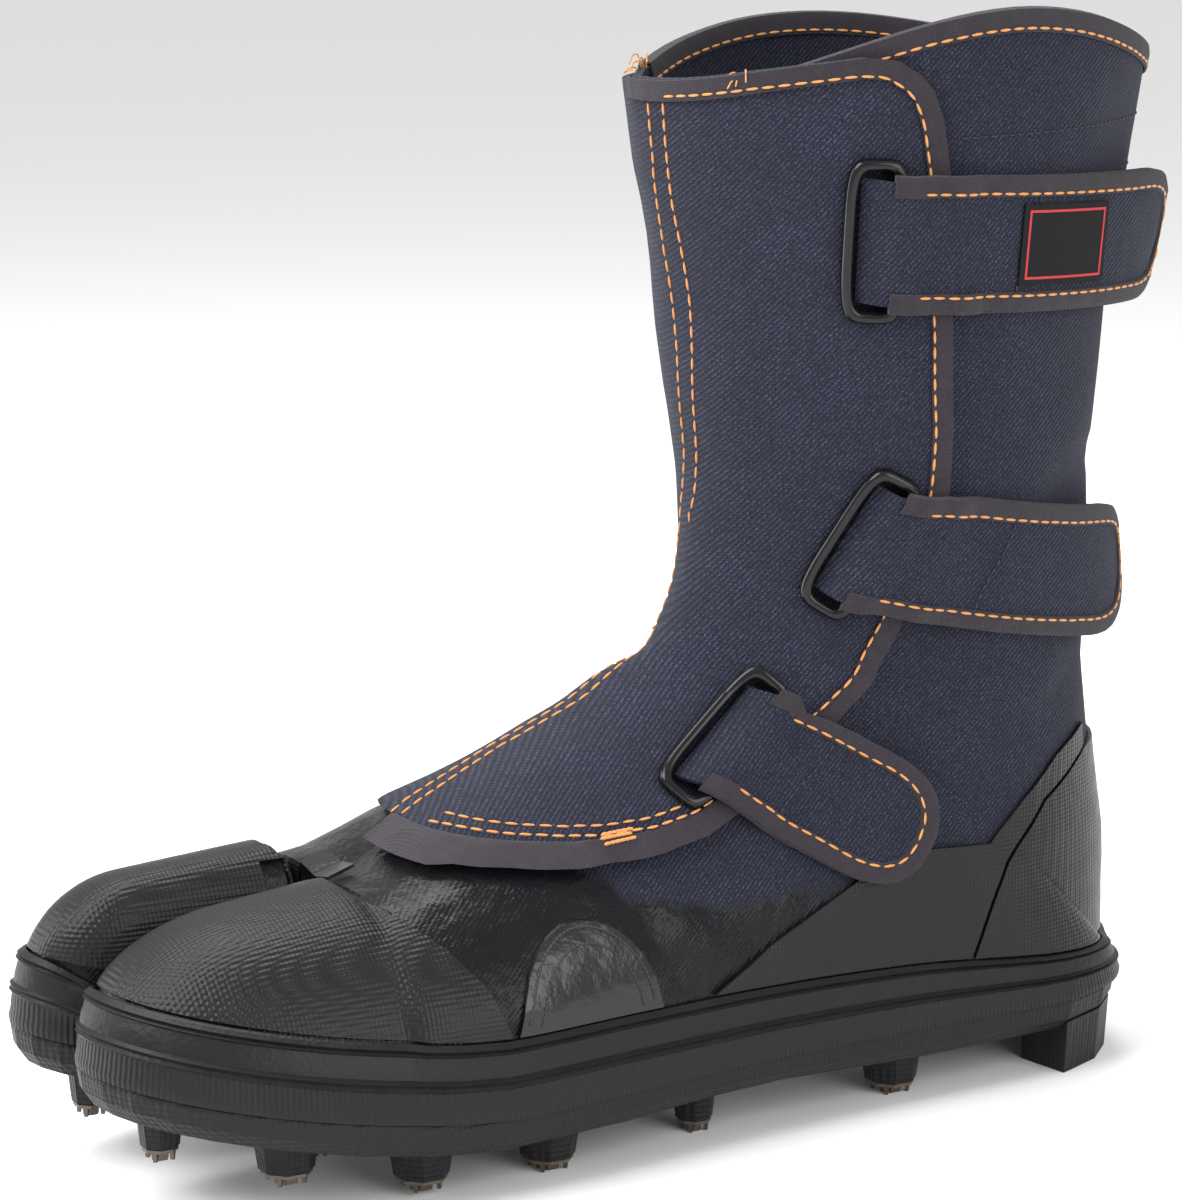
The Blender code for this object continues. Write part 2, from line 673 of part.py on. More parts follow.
def make_foxing(path, sheet, rubber):
    """A ridged rubber tape that wraps the joint, fitted to the upper all the way round."""
    rings = []
    for entry, reaches in zip(path, wall_reaches(path, BVHTree.FromBMesh(sheet))):
        share, inside = entry["share"], entry["inside"]
        foot, tall = foxing_span(entry)
        thick = FOXING_THICKNESS + (CLEFT_EDGE - GAP - FOXING_THICKNESS) * inside
        ridge = FOXING_RIDGE * (1 - inside)
        ring = []

        def add(out, up):
            point = Vector((*(entry["point"] + entry["normal"] * out), foot + tall * up))
            point.z += spring(along(point.y)) - spring(share)
            ring.append(point)

        add(reaches[0] + GAP, 0.0)
        for up, reach in zip(FOXING_WALL[1:], reaches[1:]):
            add(reach + GAP, up)
        for up, part, raised_edge in reversed(FOXING_STEPS):
            add(float(np.interp(up, FOXING_WALL, reaches)) + GAP + thick * part + ridge * raised_edge, up)
        rings.append(ring)
    return add_object("foxing", closed_strip(rings), rubber)


def fitted(thing, sheet, gap, finish):
    """Cuts a piece to the wall of the upper, with a gap on both sides of the wall."""
    combine(thing, add_object("wall", shell(sheet, -WALL - gap, gap)), "DIFFERENCE")
    thing.data.materials.clear()
    thing.data.materials.append(finish)
    return tidy(thing)


def spike_mesh(width):
    """A steel crown: an octagonal plate with a hex boss and four pins, its boss on the floor."""
    top = STUD_HEIGHT - STUD_BLOCK - GAP
    plate = add_object("spike", cone(8, width * 0.74, width * 0.74, top, top - SPIKE_PLATE, (0, 0), math.pi / 8))
    boss = cone(6, width * SPIKE_BOSS, width * SPIKE_BOSS * 0.9, top - SPIKE_PLATE / 2, 0.0, (0, 0))
    combine(plate, add_object("boss", boss), "UNION")
    reach = width * 0.265
    for quarter in range(4):
        angle = math.pi / 4 + quarter * math.pi / 2
        at = (reach * math.cos(angle), reach * math.sin(angle))
        pin = cone(4, SPIKE_PIN_WIDTH, SPIKE_PIN_WIDTH * 0.7, top - SPIKE_PLATE / 2,
                   top - SPIKE_PLATE - SPIKE_PIN_LENGTH * 0.92, at)
        combine(plate, add_object("pin", pin), "UNION")
    tidy(plate, 30.0, flat=True)
    data = plate.data
    bpy.data.objects.remove(plate, do_unlink=True)
    return data


def make_spikes(steel):
    meshes = {STUD_WIDTH: spike_mesh(STUD_WIDTH), TOE_STUD_WIDTH: spike_mesh(TOE_STUD_WIDTH)}
    for data in meshes.values():
        data.materials.clear()
        data.materials.append(steel)
    for name in STUDS:
        at, lift, width = stud_place(name)
        spike = bpy.data.objects.new("spike_" + name, meshes[width])
        spike.location = (*at, lift)
        bpy.context.scene.collection.objects.link(spike)


# Panels that are laid over the upper

# Outlines seen from the side, as (along, up): share of the length from the heel, and height as in SECTIONS
FLAP_EDGE = [
    (0.710, 0.585), (0.692, 0.590), (0.671, 0.584), (0.636, 0.573), (0.596, 0.565), (0.552, 0.565),
    (0.514, 0.576), (0.474, 0.607), (0.412, 0.693), (0.343, 0.850), (0.309, 0.960), (0.297, 1.046),
    (0.276, 1.153), (0.262, 1.299), (0.260, 1.434), (0.266, 1.567), (0.273, 1.700), (0.277, 1.870),
    (0.285, 1.968), (0.294, 2.019), (0.305, 2.045), (0.324, 2.071), (0.349, 2.077), (0.389, 2.064),
    (0.419, 2.052), (0.450, 2.035), (0.480, 2.020),
]
FLAP_SEAM = [
    (0.735, 0.590), (0.700, 0.640), (0.657, 0.640), (0.587, 0.715), (0.510, 0.823), (0.4545, 0.953),
    (0.406, 1.090), (0.378, 1.273), (0.378, 1.450), (0.388, 1.635), (0.398, 1.853), (0.404, 2.020),
]
FLAP_FRONT = [(0.62, 2.020), (0.62, 1.20), (0.80, 0.90)]
CAP_EDGE = [(0.706, 0.334), (0.729, 0.426), (0.756, 0.500), (0.776, 0.530),
            (0.790, 0.570), (0.800, 0.700)]
CAP_FRONT = [(1.15, 0.90)]
SIDE_PATCH = dict(middle=0.612, half=0.072, up=0.455)
GUARD_TOP = [(0.487, 0.190), (0.410, 0.330), (0.310, 0.470), (0.255, 0.490), (0.195, 0.480),
             (0.160, 0.585), (0.115, 0.690), (0.068, 0.745)]
COUNTER_EDGE = [(0.215, 0.100), (0.210, 0.165), (0.175, 0.415), (0.129, 0.570), (0.062, 0.672), (-0.05, 0.700)]
PANEL_GAP = 0.0008        # gap between two rubber panels that meet edge to edge


def outline(points):
    return [(place(share), level(up)) for share, up in points]


def inset(points, distance):
    """An open outline moved to its left side, seen from the outer side of the boot."""
    moved = []
    for number, (y, z) in enumerate(points):
        before, after = points[max(number - 1, 0)], points[min(number + 1, len(points) - 1)]
        run = math.hypot(after[0] - before[0], after[1] - before[1])
        moved.append((y - (after[1] - before[1]) / run * distance, z + (after[0] - before[0]) / run * distance))
    return moved


def foxing_line(low, high, step=0.03):
    """The foxing's top edge between two shares of the length, as an outline from the heel side on."""
    count = max(int(round((high - low) / step)), 1)
    shares = [low + (high - low) * number / count for number in range(count + 1)]
    return [(place(share), foxing_top(min(max(share, 0.0), 1.0)) + 2 * GAP) for share in shares]


def make_panel(name, sheet, keep, pieces, finish, inner=GAP, thickness=PATCH_THICKNESS):
    """The part of a shell over the upper that lies inside a prism across the boot."""
    panel = add_object(name, shell(sheet, inner, inner + thickness, keep), finish)
    cutter = side_prism(*pieces[0])
    for piece in pieces[1:]:
        combine(cutter, side_prism(*piece), "UNION")
    combine(panel, cutter, "INTERSECT")
    panel.data.materials.clear()
    panel.data.materials.append(finish)
    return tidy(panel)


def make_overlays(sheet, rubber):
    reach = BALL_WIDTH
    cap = outline(CAP_EDGE) + outline(CAP_FRONT) + foxing_line(0.69, 1.15)[::-1]
    middle, half = SIDE_PATCH["middle"], SIDE_PATCH["half"]
    moon = [(middle + half * math.cos(angle),
             0.16 + (SIDE_PATCH["up"] - 0.16) * math.sin(angle)) for angle in np.linspace(0.0, math.pi, 15)]
    moon = [point for point in outline(moon)]
    moon = [(y, max(z, foxing_top(along(y)) + 2 * GAP)) for y, z in moon]
    guard = outline(GUARD_TOP[1:]) + [(y - PANEL_GAP, z + PANEL_GAP) for y, z in outline(COUNTER_EDGE[4:0:-1])]
    guard += foxing_line(0.213, 0.485)
    counter = outline(COUNTER_EDGE[1:]) + [(place(-0.05), foxing_top(0.0) + 2 * GAP)] + foxing_line(0.0, 0.19)
    for side, low, high in (("lateral", 0.0, reach), ("medial", -reach, 0.0)):
        sign = 1 if side == "lateral" else -1

        def near(face, sign=sign):
            centre = face.calc_center_median()
            return centre.x * sign > 0 and place(0.75) < centre.y and centre.z < level(0.95)

        def on_toe(face, sign=sign):
            centre = face.calc_center_median()
            in_root = abs(centre.x - CLEFT_X) < 1.6 * CLEFT_GAP and centre.y > place(CLEFT_ROOT) - CLEFT_GAP
            return centre.y < place(0.62) and (centre.x - CLEFT_X) * sign > 0 and not in_root

        make_panel("toe_cap_" + side, sheet, on_toe, [(cap, low + CLEFT_X, high + CLEFT_X)], rubber)
        make_panel("side_patch_" + side, sheet, near, [(moon, low, high)], rubber)
        make_panel("quarter_guard_" + side, sheet, near, [(guard, low, high)], rubber)

    def on_heel(face):
        centre = face.calc_center_median()
        return centre.y > place(0.30) and level(0.07) < centre.z < level(0.95)

    make_panel("heel_counter", sheet, on_heel, [(counter, -reach, reach)], rubber)
    patch = outline([(0.742, 0.30), (0.767, 0.30), (0.767, 0.90), (0.742, 0.90)])
    make_panel("cleft_patch", sheet, lambda face: place(0.785) < face.calc_center_median().y < place(0.70),
               [(patch, CLEFT_X - 0.009, CLEFT_X + 0.006)], rubber, GAP + PATCH_THICKNESS + GAP, 0.0008)


def make_flap(sheet, cloth):
    reach = BALL_WIDTH
    middle = -0.16 * HALF_BALL
    outer = outline(FLAP_EDGE) + outline(FLAP_FRONT)
    inner = outline(FLAP_SEAM) + outline(FLAP_FRONT)

    def on_front(face):
        centre = face.calc_center_median()
        return place(0.75) < centre.y < place(0.18) and centre.z > level(0.40)

    flap = make_panel("front_flap", sheet, on_front, [(outer, middle, reach), (inner, -reach, middle)],
                      cloth, GAP, FLAP_THICKNESS)
    edge = outline(FLAP_EDGE[1:-2])
    tape = edge + inset(edge, BINDING_WIDTH)[::-1]
    make_panel("flap_binding", sheet, on_front, [(tape, middle / 2, reach)], cloth,
               GAP + FLAP_THICKNESS + GAP, BINDING_THICKNESS)
    return flap


def make_collar_binding(sheet, cloth):
    """Tape along the collar behind the flap, right round the back to the front panel's inner seam."""
    reach = BALL_WIDTH
    low, high = level(1.9), level(2.4)
    outer = [(place(FLAP_EDGE[-9][0]) + 2 * GAP, low), (place(-0.2), low), (place(-0.2), high),
             (place(FLAP_EDGE[-9][0]) + 2 * GAP, high)]
    inner = [(place(FLAP_SEAM[-1][0]) + 2 * GAP, low), (place(-0.2), low), (place(-0.2), high),
             (place(FLAP_SEAM[-1][0]) + 2 * GAP, high)]
    rim = {vertex for vertex in sheet.verts if vertex.is_boundary and vertex.co.z > level(1.8)}
    make_panel("collar_binding", sheet, lambda face: any(vertex in rim for vertex in face.verts),
               [(outer, 0.0, reach), (inner, -reach, 0.0)], cloth, GAP, BINDING_THICKNESS)


# Frames and straps

# Middle of each frame: share of the length and height as in SECTIONS. Tilt: degrees that the frame leans back.
# Slope: how far the strap falls per metre. Reach: length of the strap from the middle of the frame to its tip.
# Stand: how far the tip stands away from the boot.
STRAPS = {
    "top": dict(along=0.332, up=1.765, tilt=0.0, slope=0.04, reach=0.104, stand=0.0100),
    "middle": dict(along=0.324, up=1.231, tilt=24.0, slope=0.17, reach=0.093, stand=0.0070),
    "bottom": dict(along=0.436, up=0.811, tilt=52.0, slope=0.72, reach=0.058, stand=0.0030),
}
FRAME_HEIGHT = 0.0026
STRAP_TIP = 0.020         # length over which the tip rounds off
STRAP_FREE = 0.45         # share of the reach from which the strap starts to stand away
STRAP_PARTS = (-1.0, -0.5, 0.0, 0.5, 1.0)
SLOT_GAP = 0.0004
ON_UPPER = 2.5 * GAP
FRAME_LIFT = GAP + FLAP_THICKNESS + 3 * GAP
STRAP_LIFT = GAP + FLAP_THICKNESS + GAP + BINDING_THICKNESS + 3 * GAP
FRAME_BACK = FRAME_WIDTH / 2 - FRAME_BAR / 2
STRAP_START = FRAME_BAR + 0.0012 - FRAME_WIDTH / 2
STRAP_PINCH = 0.0012      # the strap is this much narrower on each side in its frame


def strap_frame(skin, strap):
    """The frame's middle, the direction across it, its long direction and the surface's normal."""
    start = Vector((BALL_WIDTH, place(strap["along"]), level(strap["up"])))
    at, normal = skin.ray_cast(start, Vector((-1, 0, 0)), 2 * BALL_WIDTH)[:2]
    normal = normal if normal.x > 0 else -normal
    tilt = math.radians(strap["tilt"])
    heading = Vector((0, math.cos(tilt), -math.sin(tilt)))
    heading -= normal * heading.dot(normal)
    heading.normalize()
    return at, heading, normal.cross(heading).normalized(), normal


def rounded(angle, half_long, half_wide, power=4.5):
    """A point of a rounded oblong."""
    across, up = math.cos(angle), math.sin(angle)
    return (math.copysign(abs(across) ** (2 / power), across) * half_wide,
            math.copysign(abs(up) ** (2 / power), up) * half_long)


def closed_strip(rings, closed=True):
    """A closed solid through rings of points. The strip itself is a loop, or it ends in two flat ends."""
    solid = bmesh.new()
    rings = [[solid.verts.new(point) for point in ring] for ring in rings]
    for first, second in zip(rings, rings[1:] + (rings[:1] if closed else [])):
        for corner in range(len(first)):
            after = (corner + 1) % len(first)
            solid.faces.new([first[corner], second[corner], second[after], first[after]])
    if not closed:
        solid.faces.new(rings[0])
        solid.faces.new(rings[-1][::-1])
    bmesh.ops.recalc_face_normals(solid, faces=solid.faces)
    return solid


def make_frame(name, skin, strap, gloss):
    at, heading, side, normal = strap_frame(skin, strap)
    rings = []
    profile = [(-0.5, 0.0), (-0.5, 0.65), (-0.2, 1.0), (0.2, 1.0), (0.5, 0.65), (0.5, 0.0)]
    for number in range(16):
        angle = 2 * math.pi * (number + 0.5) / 16
        ring = []
        for out, up in profile:
            inset = FRAME_BAR * (0.5 - out)
            wide, far = rounded(angle, FRAME_LENGTH / 2 - inset, FRAME_WIDTH / 2 - inset)
            point = at + heading * wide + side * far
            foot = skin.ray_cast(point + normal * 0.02, -normal, 0.04)[0]
            ring.append(foot + normal * (FRAME_LIFT + FRAME_HEIGHT * up))
        rings.append(ring)
    return add_object(name, closed_strip(rings), gloss)


def cut_slot(flap, skin, strap):
    """Opens the flap inside a frame, where its strap comes through."""
    at, heading, side, normal = strap_frame(skin, strap)
    half_long = FRAME_LENGTH / 2 - FRAME_BAR + SLOT_GAP
    half_wide = FRAME_WIDTH / 2 - FRAME_BAR + SLOT_GAP
    rings = []
    for depth in (-0.012, 0.012):
        ring = []
        for number in range(16):
            wide, far = rounded(2 * math.pi * (number + 0.5) / 16, half_long, half_wide)
            ring.append(at + heading * wide + side * far + normal * depth)
        rings.append(ring)
    return combine(flap, add_object("slot", closed_strip(rings, False)), "DIFFERENCE")


def inside_flap(point):
    """Distance inside the flap's free edge, seen from the side. It is negative outside."""
    edge = outline(FLAP_EDGE)
    y, z = point.y, point.z
    best, inside = 1.0, False
    ring = edge + outline(FLAP_FRONT)
    for (y0, z0), (y1, z1) in zip(ring, ring[1:] + ring[:1]):
        if (z0 > z) != (z1 > z) and y < y0 + (y1 - y0) * (z - z0) / (z1 - z0):
            inside = not inside
    for (y0, z0), (y1, z1) in zip(edge, edge[1:]):
        share = ((y - y0) * (y1 - y0) + (z - z0) * (z1 - z0)) / ((y1 - y0) ** 2 + (z1 - z0) ** 2)
        share = min(max(share, 0.0), 1.0)
        best = min(best, math.hypot(y - y0 - (y1 - y0) * share, z - z0 - (z1 - z0) * share))
    return best if inside else -best


def strap_lift(strap, reach, point):
    """Height of the strap's underside over the upper, along the strap from the middle of its frame."""
    over = FRAME_LIFT + FRAME_HEIGHT + 2 * GAP
    if reach < FRAME_BACK:
        return ON_UPPER + (over - ON_UPPER) * min((reach - STRAP_START) / (FRAME_BACK * 0.55 - STRAP_START), 1.0)
    on = ON_UPPER + (STRAP_LIFT - ON_UPPER) * ease((inside_flap(point) + 0.010) / 0.008)
    free = strap["reach"] * STRAP_FREE
    away = strap["stand"] * (max(reach - free, 0.0) / (strap["reach"] - free)) ** 2
    return on + (over - on) * (1 - ease((reach - FRAME_BACK - FRAME_BAR * 0.75) / 0.005)) + away


def strap_path(skin, strap, stops):
    """Place, direction and normal along the strap's middle, at rising distances from the frame's middle."""
    at, across, side, normal = strap_frame(skin, strap)
    heading = Vector((0, 1, -strap["slope"]))
    heading -= normal * heading.dot(normal)
    heading.normalize()
    position, direction, up, reached = at.copy(), heading.copy(), normal.copy(), 0.0
    path = []
    for stop in stops:
        if stop <= 0:
            path.append((at + across * stop, heading, normal))
            continue
        while reached < stop - 1e-6:
            step = min(0.002, stop - reached)
            ahead, way_up = skin.find_nearest(position + direction * step)[:2]
            up = way_up if way_up.dot(up) > 0 else -way_up
            direction = (ahead - position).normalized()
            position = ahead
            reached += step
        path.append((position.copy(), direction.copy(), up.copy()))
    return path


def strap_rows(skin, strap, stops, parts, half_width, low, high):
    """Rows of points under and over a band that follows the strap, low and high above its underside."""
    side, out = strap_frame(skin, strap)[2:]
    rows = []
    for stop, (centre, way, up) in zip(stops, strap_path(skin, strap, stops)):
        across = up.cross(way).normalized()
        turn = 1 - ease((stop - FRAME_BACK) / 0.020)
        across = (across * (1 - turn) + side * turn).normalized()
        under, over = [], []
        for part in parts:
            spot = centre + across * half_width(stop) * part
            foot, foot_up = skin.find_nearest(spot)[:2]
            foot_up = foot_up if foot_up.dot(up) > 0 else -foot_up
            if stop < FRAME_BACK + FRAME_BAR:
                foot, foot_up = skin.ray_cast(spot + out * 0.02, -out, 0.04)[0], out
            lift = strap_lift(strap, stop, foot)
            under.append(foot + foot_up * (lift + low))
            over.append(foot + foot_up * (lift + high))
        rows.append((under, over))
    return rows


def band(rows):
    """A closed solid between the two faces of a band."""
    solid = bmesh.new()
    low = [[solid.verts.new(point) for point in under] for under, over in rows]
    high = [[solid.verts.new(point) for point in over] for under, over in rows]
    last = len(low[0]) - 1
    for number in range(len(rows) - 1):
        for part in range(last):
            for face, order in ((high, 1), (low, -1)):
                quad = [face[number][part], face[number + 1][part], face[number + 1][part + 1], face[number][part + 1]]
                solid.faces.new(quad[::order])
        for part, order in ((0, 1), (last, -1)):
            quad = [low[number][part], low[number + 1][part], high[number + 1][part], high[number][part]]
            solid.faces.new(quad[::order])
    for number, order in ((0, -1), (len(rows) - 1, 1)):
        for part in range(last):
            quad = [low[number][part], low[number][part + 1], high[number][part + 1], high[number][part]]
            solid.faces.new(quad[::order])
    bmesh.ops.remove_doubles(solid, verts=solid.verts, dist=2e-5)
    bmesh.ops.recalc_face_normals(solid, faces=solid.faces)
    return solid


def make_strap(name, skin, strap, cloth):
    reach = strap["reach"]
    stops = [STRAP_START, STRAP_START + 0.0022, 0.002, FRAME_BACK, FRAME_BACK + 0.003, FRAME_BACK + 0.0065]
    stops += list(np.linspace(FRAME_BACK + 0.012, reach - STRAP_TIP, max(int(reach / 0.011), 4)))
    stops += [reach - STRAP_TIP * part for part in (0.7, 0.45, 0.22, 0.08, 0.0)]

    def half_width(stop):
        pinch = STRAP_PINCH * (1 - ease((stop - FRAME_BACK) / 0.006))
        return (STRAP_WIDTH / 2 - pinch) * round_off((stop - reach + STRAP_TIP) / STRAP_TIP, 2.4)

    rows = strap_rows(skin, strap, stops, STRAP_PARTS, half_width, 0.0, STRAP_THICKNESS)
    return add_object(name, band(rows), cloth)


def make_label(skin, cloth):
    low = STRAP_THICKNESS + GAP
    stops = list(np.linspace(LABEL_PLACE, LABEL_PLACE + LABEL_WIDTH, 6))
    rows = strap_rows(skin, STRAPS["top"], stops, STRAP_PARTS, lambda stop: LABEL_HEIGHT / 2,
                      low, low + LABEL_THICKNESS)
    return add_object("label_patch", band(rows), cloth)


def settle():
    """Moves the whole boot so that the middle of its outline on the floor is the origin."""
    things = list(bpy.data.objects)
    points = [thing.matrix_basis @ vertex.co for thing in things for vertex in thing.data.vertices]
    low = [min(point[axis] for point in points) for axis in range(3)]
    high = [max(point[axis] for point in points) for axis in range(3)]
    shift = Vector((-(low[0] + high[0]) / 2, -(low[1] + high[1]) / 2, -low[2]))
    for thing in things:
        if thing.data.users > 1:
            thing.location += shift
        else:
            thing.data.transform(Matrix.Translation(shift))


def main():
    for thing in list(bpy.data.objects):
        bpy.data.objects.remove(thing, do_unlink=True)
    denim = material("denim", (0.018, 0.020, 0.033), 0.85)
    rubber = material("rubber", (0.028, 0.028, 0.029), 0.62)
    gloss = material("frame_gloss", (0.008, 0.008, 0.009), 0.12)
    steel = material("steel", (0.16, 0.14, 0.12), 0.45, 0.9)
    foam = material("insole_foam", (0.06, 0.06, 0.065), 0.9)

    rows = [(section("lateral", station), section("medial", station)) for station in upper_stations()]
    sheet = sheet_mesh(rows, TOE_ROWS)
    tall_sheet = sheet_mesh(raised(rows, COLLAR_REACH), TOE_ROWS)
    fine_rows = [(section("lateral", station, 3 * COLUMNS), section("medial", station, 3 * COLUMNS))
                 for station in upper_stations(3)]
    skin = BVHTree.FromBMesh(sheet_mesh(fine_rows, 3 * TOE_ROWS))
    add_object("upper", shell(sheet, -WALL, 0.0), denim)

    path = foot_path()
    make_outsole(path, rubber)
    make_insole(path, sheet, foam)
    make_foxing(path, sheet, rubber)
    make_spikes(steel)
    make_overlays(sheet, rubber)
    make_collar_binding(sheet, denim)
    flap = make_flap(tall_sheet, denim)
    for name, strap in STRAPS.items():
        cut_slot(flap, skin, strap)
        make_frame("slot_frame_" + name, skin, strap, gloss)
        make_strap("strap_" + name, skin, strap, denim)
    tidy(flap)
    make_label(skin, denim)
    settle()


main()
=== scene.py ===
"""Looks of a jika tabi: the left boot of a pair of split-toe work boots with a spiked rubber sole.

Metres, +Z up. The toe points to -Y and the outer side of the foot to +X. The sections, panels and straps
are worked out from the boot's own sizes, with its toe and heel placed before the final shift, and every
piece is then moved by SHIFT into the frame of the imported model.
"""

import json
import math

import bmesh
import bpy
import numpy as np
from mathutils import Matrix, Vector, noise
from mathutils.bvhtree import BVHTree

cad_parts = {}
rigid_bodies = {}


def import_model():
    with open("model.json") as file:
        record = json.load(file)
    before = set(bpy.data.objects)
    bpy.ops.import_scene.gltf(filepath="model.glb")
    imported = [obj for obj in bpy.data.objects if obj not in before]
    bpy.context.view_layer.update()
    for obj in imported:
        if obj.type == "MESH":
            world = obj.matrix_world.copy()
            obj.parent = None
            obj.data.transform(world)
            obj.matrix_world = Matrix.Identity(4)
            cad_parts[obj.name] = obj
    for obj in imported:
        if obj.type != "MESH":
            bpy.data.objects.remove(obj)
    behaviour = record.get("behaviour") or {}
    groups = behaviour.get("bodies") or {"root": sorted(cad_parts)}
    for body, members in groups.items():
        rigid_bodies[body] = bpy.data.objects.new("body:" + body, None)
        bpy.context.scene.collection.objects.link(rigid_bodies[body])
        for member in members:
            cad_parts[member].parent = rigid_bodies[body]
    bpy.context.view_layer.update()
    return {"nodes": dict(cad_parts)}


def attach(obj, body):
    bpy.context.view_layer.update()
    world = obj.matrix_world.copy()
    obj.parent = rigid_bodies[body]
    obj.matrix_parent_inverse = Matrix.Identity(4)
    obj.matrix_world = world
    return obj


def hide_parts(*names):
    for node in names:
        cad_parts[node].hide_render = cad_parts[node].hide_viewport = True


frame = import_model()

bl_info = {
    "name": "Jika tabi looks",
    "version": (1, 0, 0),
    "blender": (4, 5, 0),
    "location": "View3D > Sidebar > Tabi",
    "description": "Cloth, rubber, stitching and stage of a split-toe work boot",
    "category": "Object",
}

SHIFT = Vector((-0.001127, 0.003316, 0.0))
FINE = 4                  # rows and columns of the cloth for each one of the solid's

# Driving dimensions of the last
LENGTH = 0.286            # upper from heel back to big toe tip, without the rubber foxing
HEEL_Y = 0.138            # place of the heel back
BALL_WIDTH = 0.098        # upper at the ball, without the foxing
INSTEP_HEIGHT = 0.092     # sole top to the instep break
SHAFT_RISE = 0.138        # instep break to the front of the collar
TOE_SPRING = 0.0145
SPRING_START = 0.70       # share of the length where the sole starts to rise
WALL = 0.0022
GAP = 0.0003

# Split toe
CLEFT_X = -0.007
CLEFT_GAP = 0.0064
CLEFT_ROOT = 0.782        # share of the length where the split ends
CLEFT_RISE = 0.006        # length over which the wall at the split's root rises
VALLEY_LENGTH = 0.030     # shallow valley behind the split
VALLEY_DEPTH = 0.14

# Collar line
COLLAR_RISE_OUTER = 0.018
COLLAR_RISE_INNER = 0.012
BINDING_WIDTH = 0.0050
COLLAR_REACH = 0.0130     # how far a panel may rise over the collar
BINDING_THICKNESS = 0.0007

# Sole
STUD_HEIGHT = 0.0120      # floor to the sole's underside
SOLE_THICKNESS = 0.0080
CLEFT_EDGE = 0.0009       # sole edge beyond the upper, inside the split

# Foxing
FOXING_HEIGHT = 0.0185
FOXING_THICKNESS = 0.0027
FOXING_RIDGE = 0.0007

# Flap, frames and straps
FLAP_THICKNESS = 0.0016
FRAME_LENGTH = 0.0395
FRAME_WIDTH = 0.0155
FRAME_BAR = 0.0028
STRAP_WIDTH = 0.0320
STRAP_THICKNESS = 0.0020
LABEL_PLACE = 0.0370      # from the middle of the frame
LABEL_WIDTH = 0.0290
LABEL_HEIGHT = 0.0195
LABEL_THICKNESS = 0.0005

# Rubber overlays
PATCH_THICKNESS = 0.0010

SOLE_TOP = STUD_HEIGHT + SOLE_THICKNESS + GAP
HALF_BALL = BALL_WIDTH / 2
TOE_ROWS = 8              # rows of faces along a toe
COLUMNS = 9               # faces from each foot of a section to its middle

# Plan of the upper at the sole: shares of the length from the heel, and of half the ball width
PLAN = [
    # along, lateral, medial
    (0.00, 0.72, 0.71),
    (0.12, 0.75, 0.73),
    (0.25, 0.78, 0.72),
    (0.40, 0.82, 0.67),
    (0.55, 0.91, 0.76),
    (0.70, 1.00, 0.93),
    (0.80, 1.00, 0.97),
    (0.90, 1.00, 0.95),
    (1.00, 1.00, 0.93),
]
HEEL_ROUND = 0.135        # share of the length over which the heel closes

# The two toes. Along: shares of the length. Across: shares of half the ball width.
# Heights: shares of the instep height above the sole top.
TOES = {
    "lateral": dict(tip=0.996, tip_x=0.20, ridge_x=0.13, root_height=0.535, tip_height=0.46,
                    outer_round=0.745, inner_round=0.930, top_round=0.875, outer_power=2.1, inner_power=3.0),
    "medial": dict(tip=1.000, tip_x=-0.56, ridge_x=-0.50, root_height=0.560, tip_height=0.51,
                   outer_round=0.870, inner_round=0.925, top_round=0.910, outer_power=2.3, inner_power=3.0),
}
NOSE_HEIGHT = 0.06        # height of a toe's foremost point over the sole, share of the instep height

# Sections behind the split, each in a plane from its rear point to its front point.
# rear and front: share of the length from the heel; up: 0 sole top, 1 instep break, 2 collar.
# lateral and medial: widest half width as a share of half the ball width, at height share belly.
# ridge: sideways shift of the front point; power: 2 is round, more is boxier.
SECTIONS = [
    # rear,  rear_up, front, front_up, lateral, medial, belly, ridge, power
    (0.782, 0.000, 0.782, 0.560, 1.00, 0.97, 0.34, -0.16, 2.2),
    (0.695, 0.000, 0.697, 0.620, 1.02, 0.97, 0.33, -0.16, 2.2),
    (0.570, 0.000, 0.606, 0.722, 0.95, 0.89, 0.33, -0.15, 2.1),
    (0.410, 0.000, 0.537, 0.840, 0.85, 0.81, 0.35, -0.12, 2.0),
    (0.255, 0.000, 0.487, 0.935, 0.80, 0.77, 0.38, -0.08, 2.0),
    (0.105, 0.000, 0.450, 1.002, 0.78, 0.75, 0.42, -0.04, 2.0),
    (0.025, 0.000, 0.434, 1.045, 0.77, 0.75, 0.46, -0.02, 2.0),
    (0.000, 0.000, 0.422, 1.098, 0.76, 0.75, 0.48, 0.00, 2.0),
    (0.000, 0.280, 0.414, 1.160, 0.78, 0.77, 0.50, 0.00, 2.0),
    (0.018, 0.700, 0.409, 1.240, 0.80, 0.80, 0.50, 0.00, 2.0),
    (0.028, 1.045, 0.408, 1.315, 0.85, 0.84, 0.50, 0.00, 2.0),
    (0.033, 1.275, 0.412, 1.420, 0.92, 0.91, 0.50, 0.00, 2.0),
    (0.024, 1.520, 0.423, 1.580, 0.97, 0.96, 0.50, 0.00, 2.0),
    (0.004, 1.780, 0.440, 1.797, 1.02, 1.01, 0.50, 0.00, 2.0),
    (-0.018, 2.036, 0.455, 2.000, 1.06, 1.05, 0.50, 0.00, 2.0),
]
SECTION_NAMES = ("rear", "rear_up", "front", "front_up", "lateral", "medial", "belly", "ridge", "power")
COLLAR = len(SECTIONS) - 1
COLLAR_RISE_START = 11.0

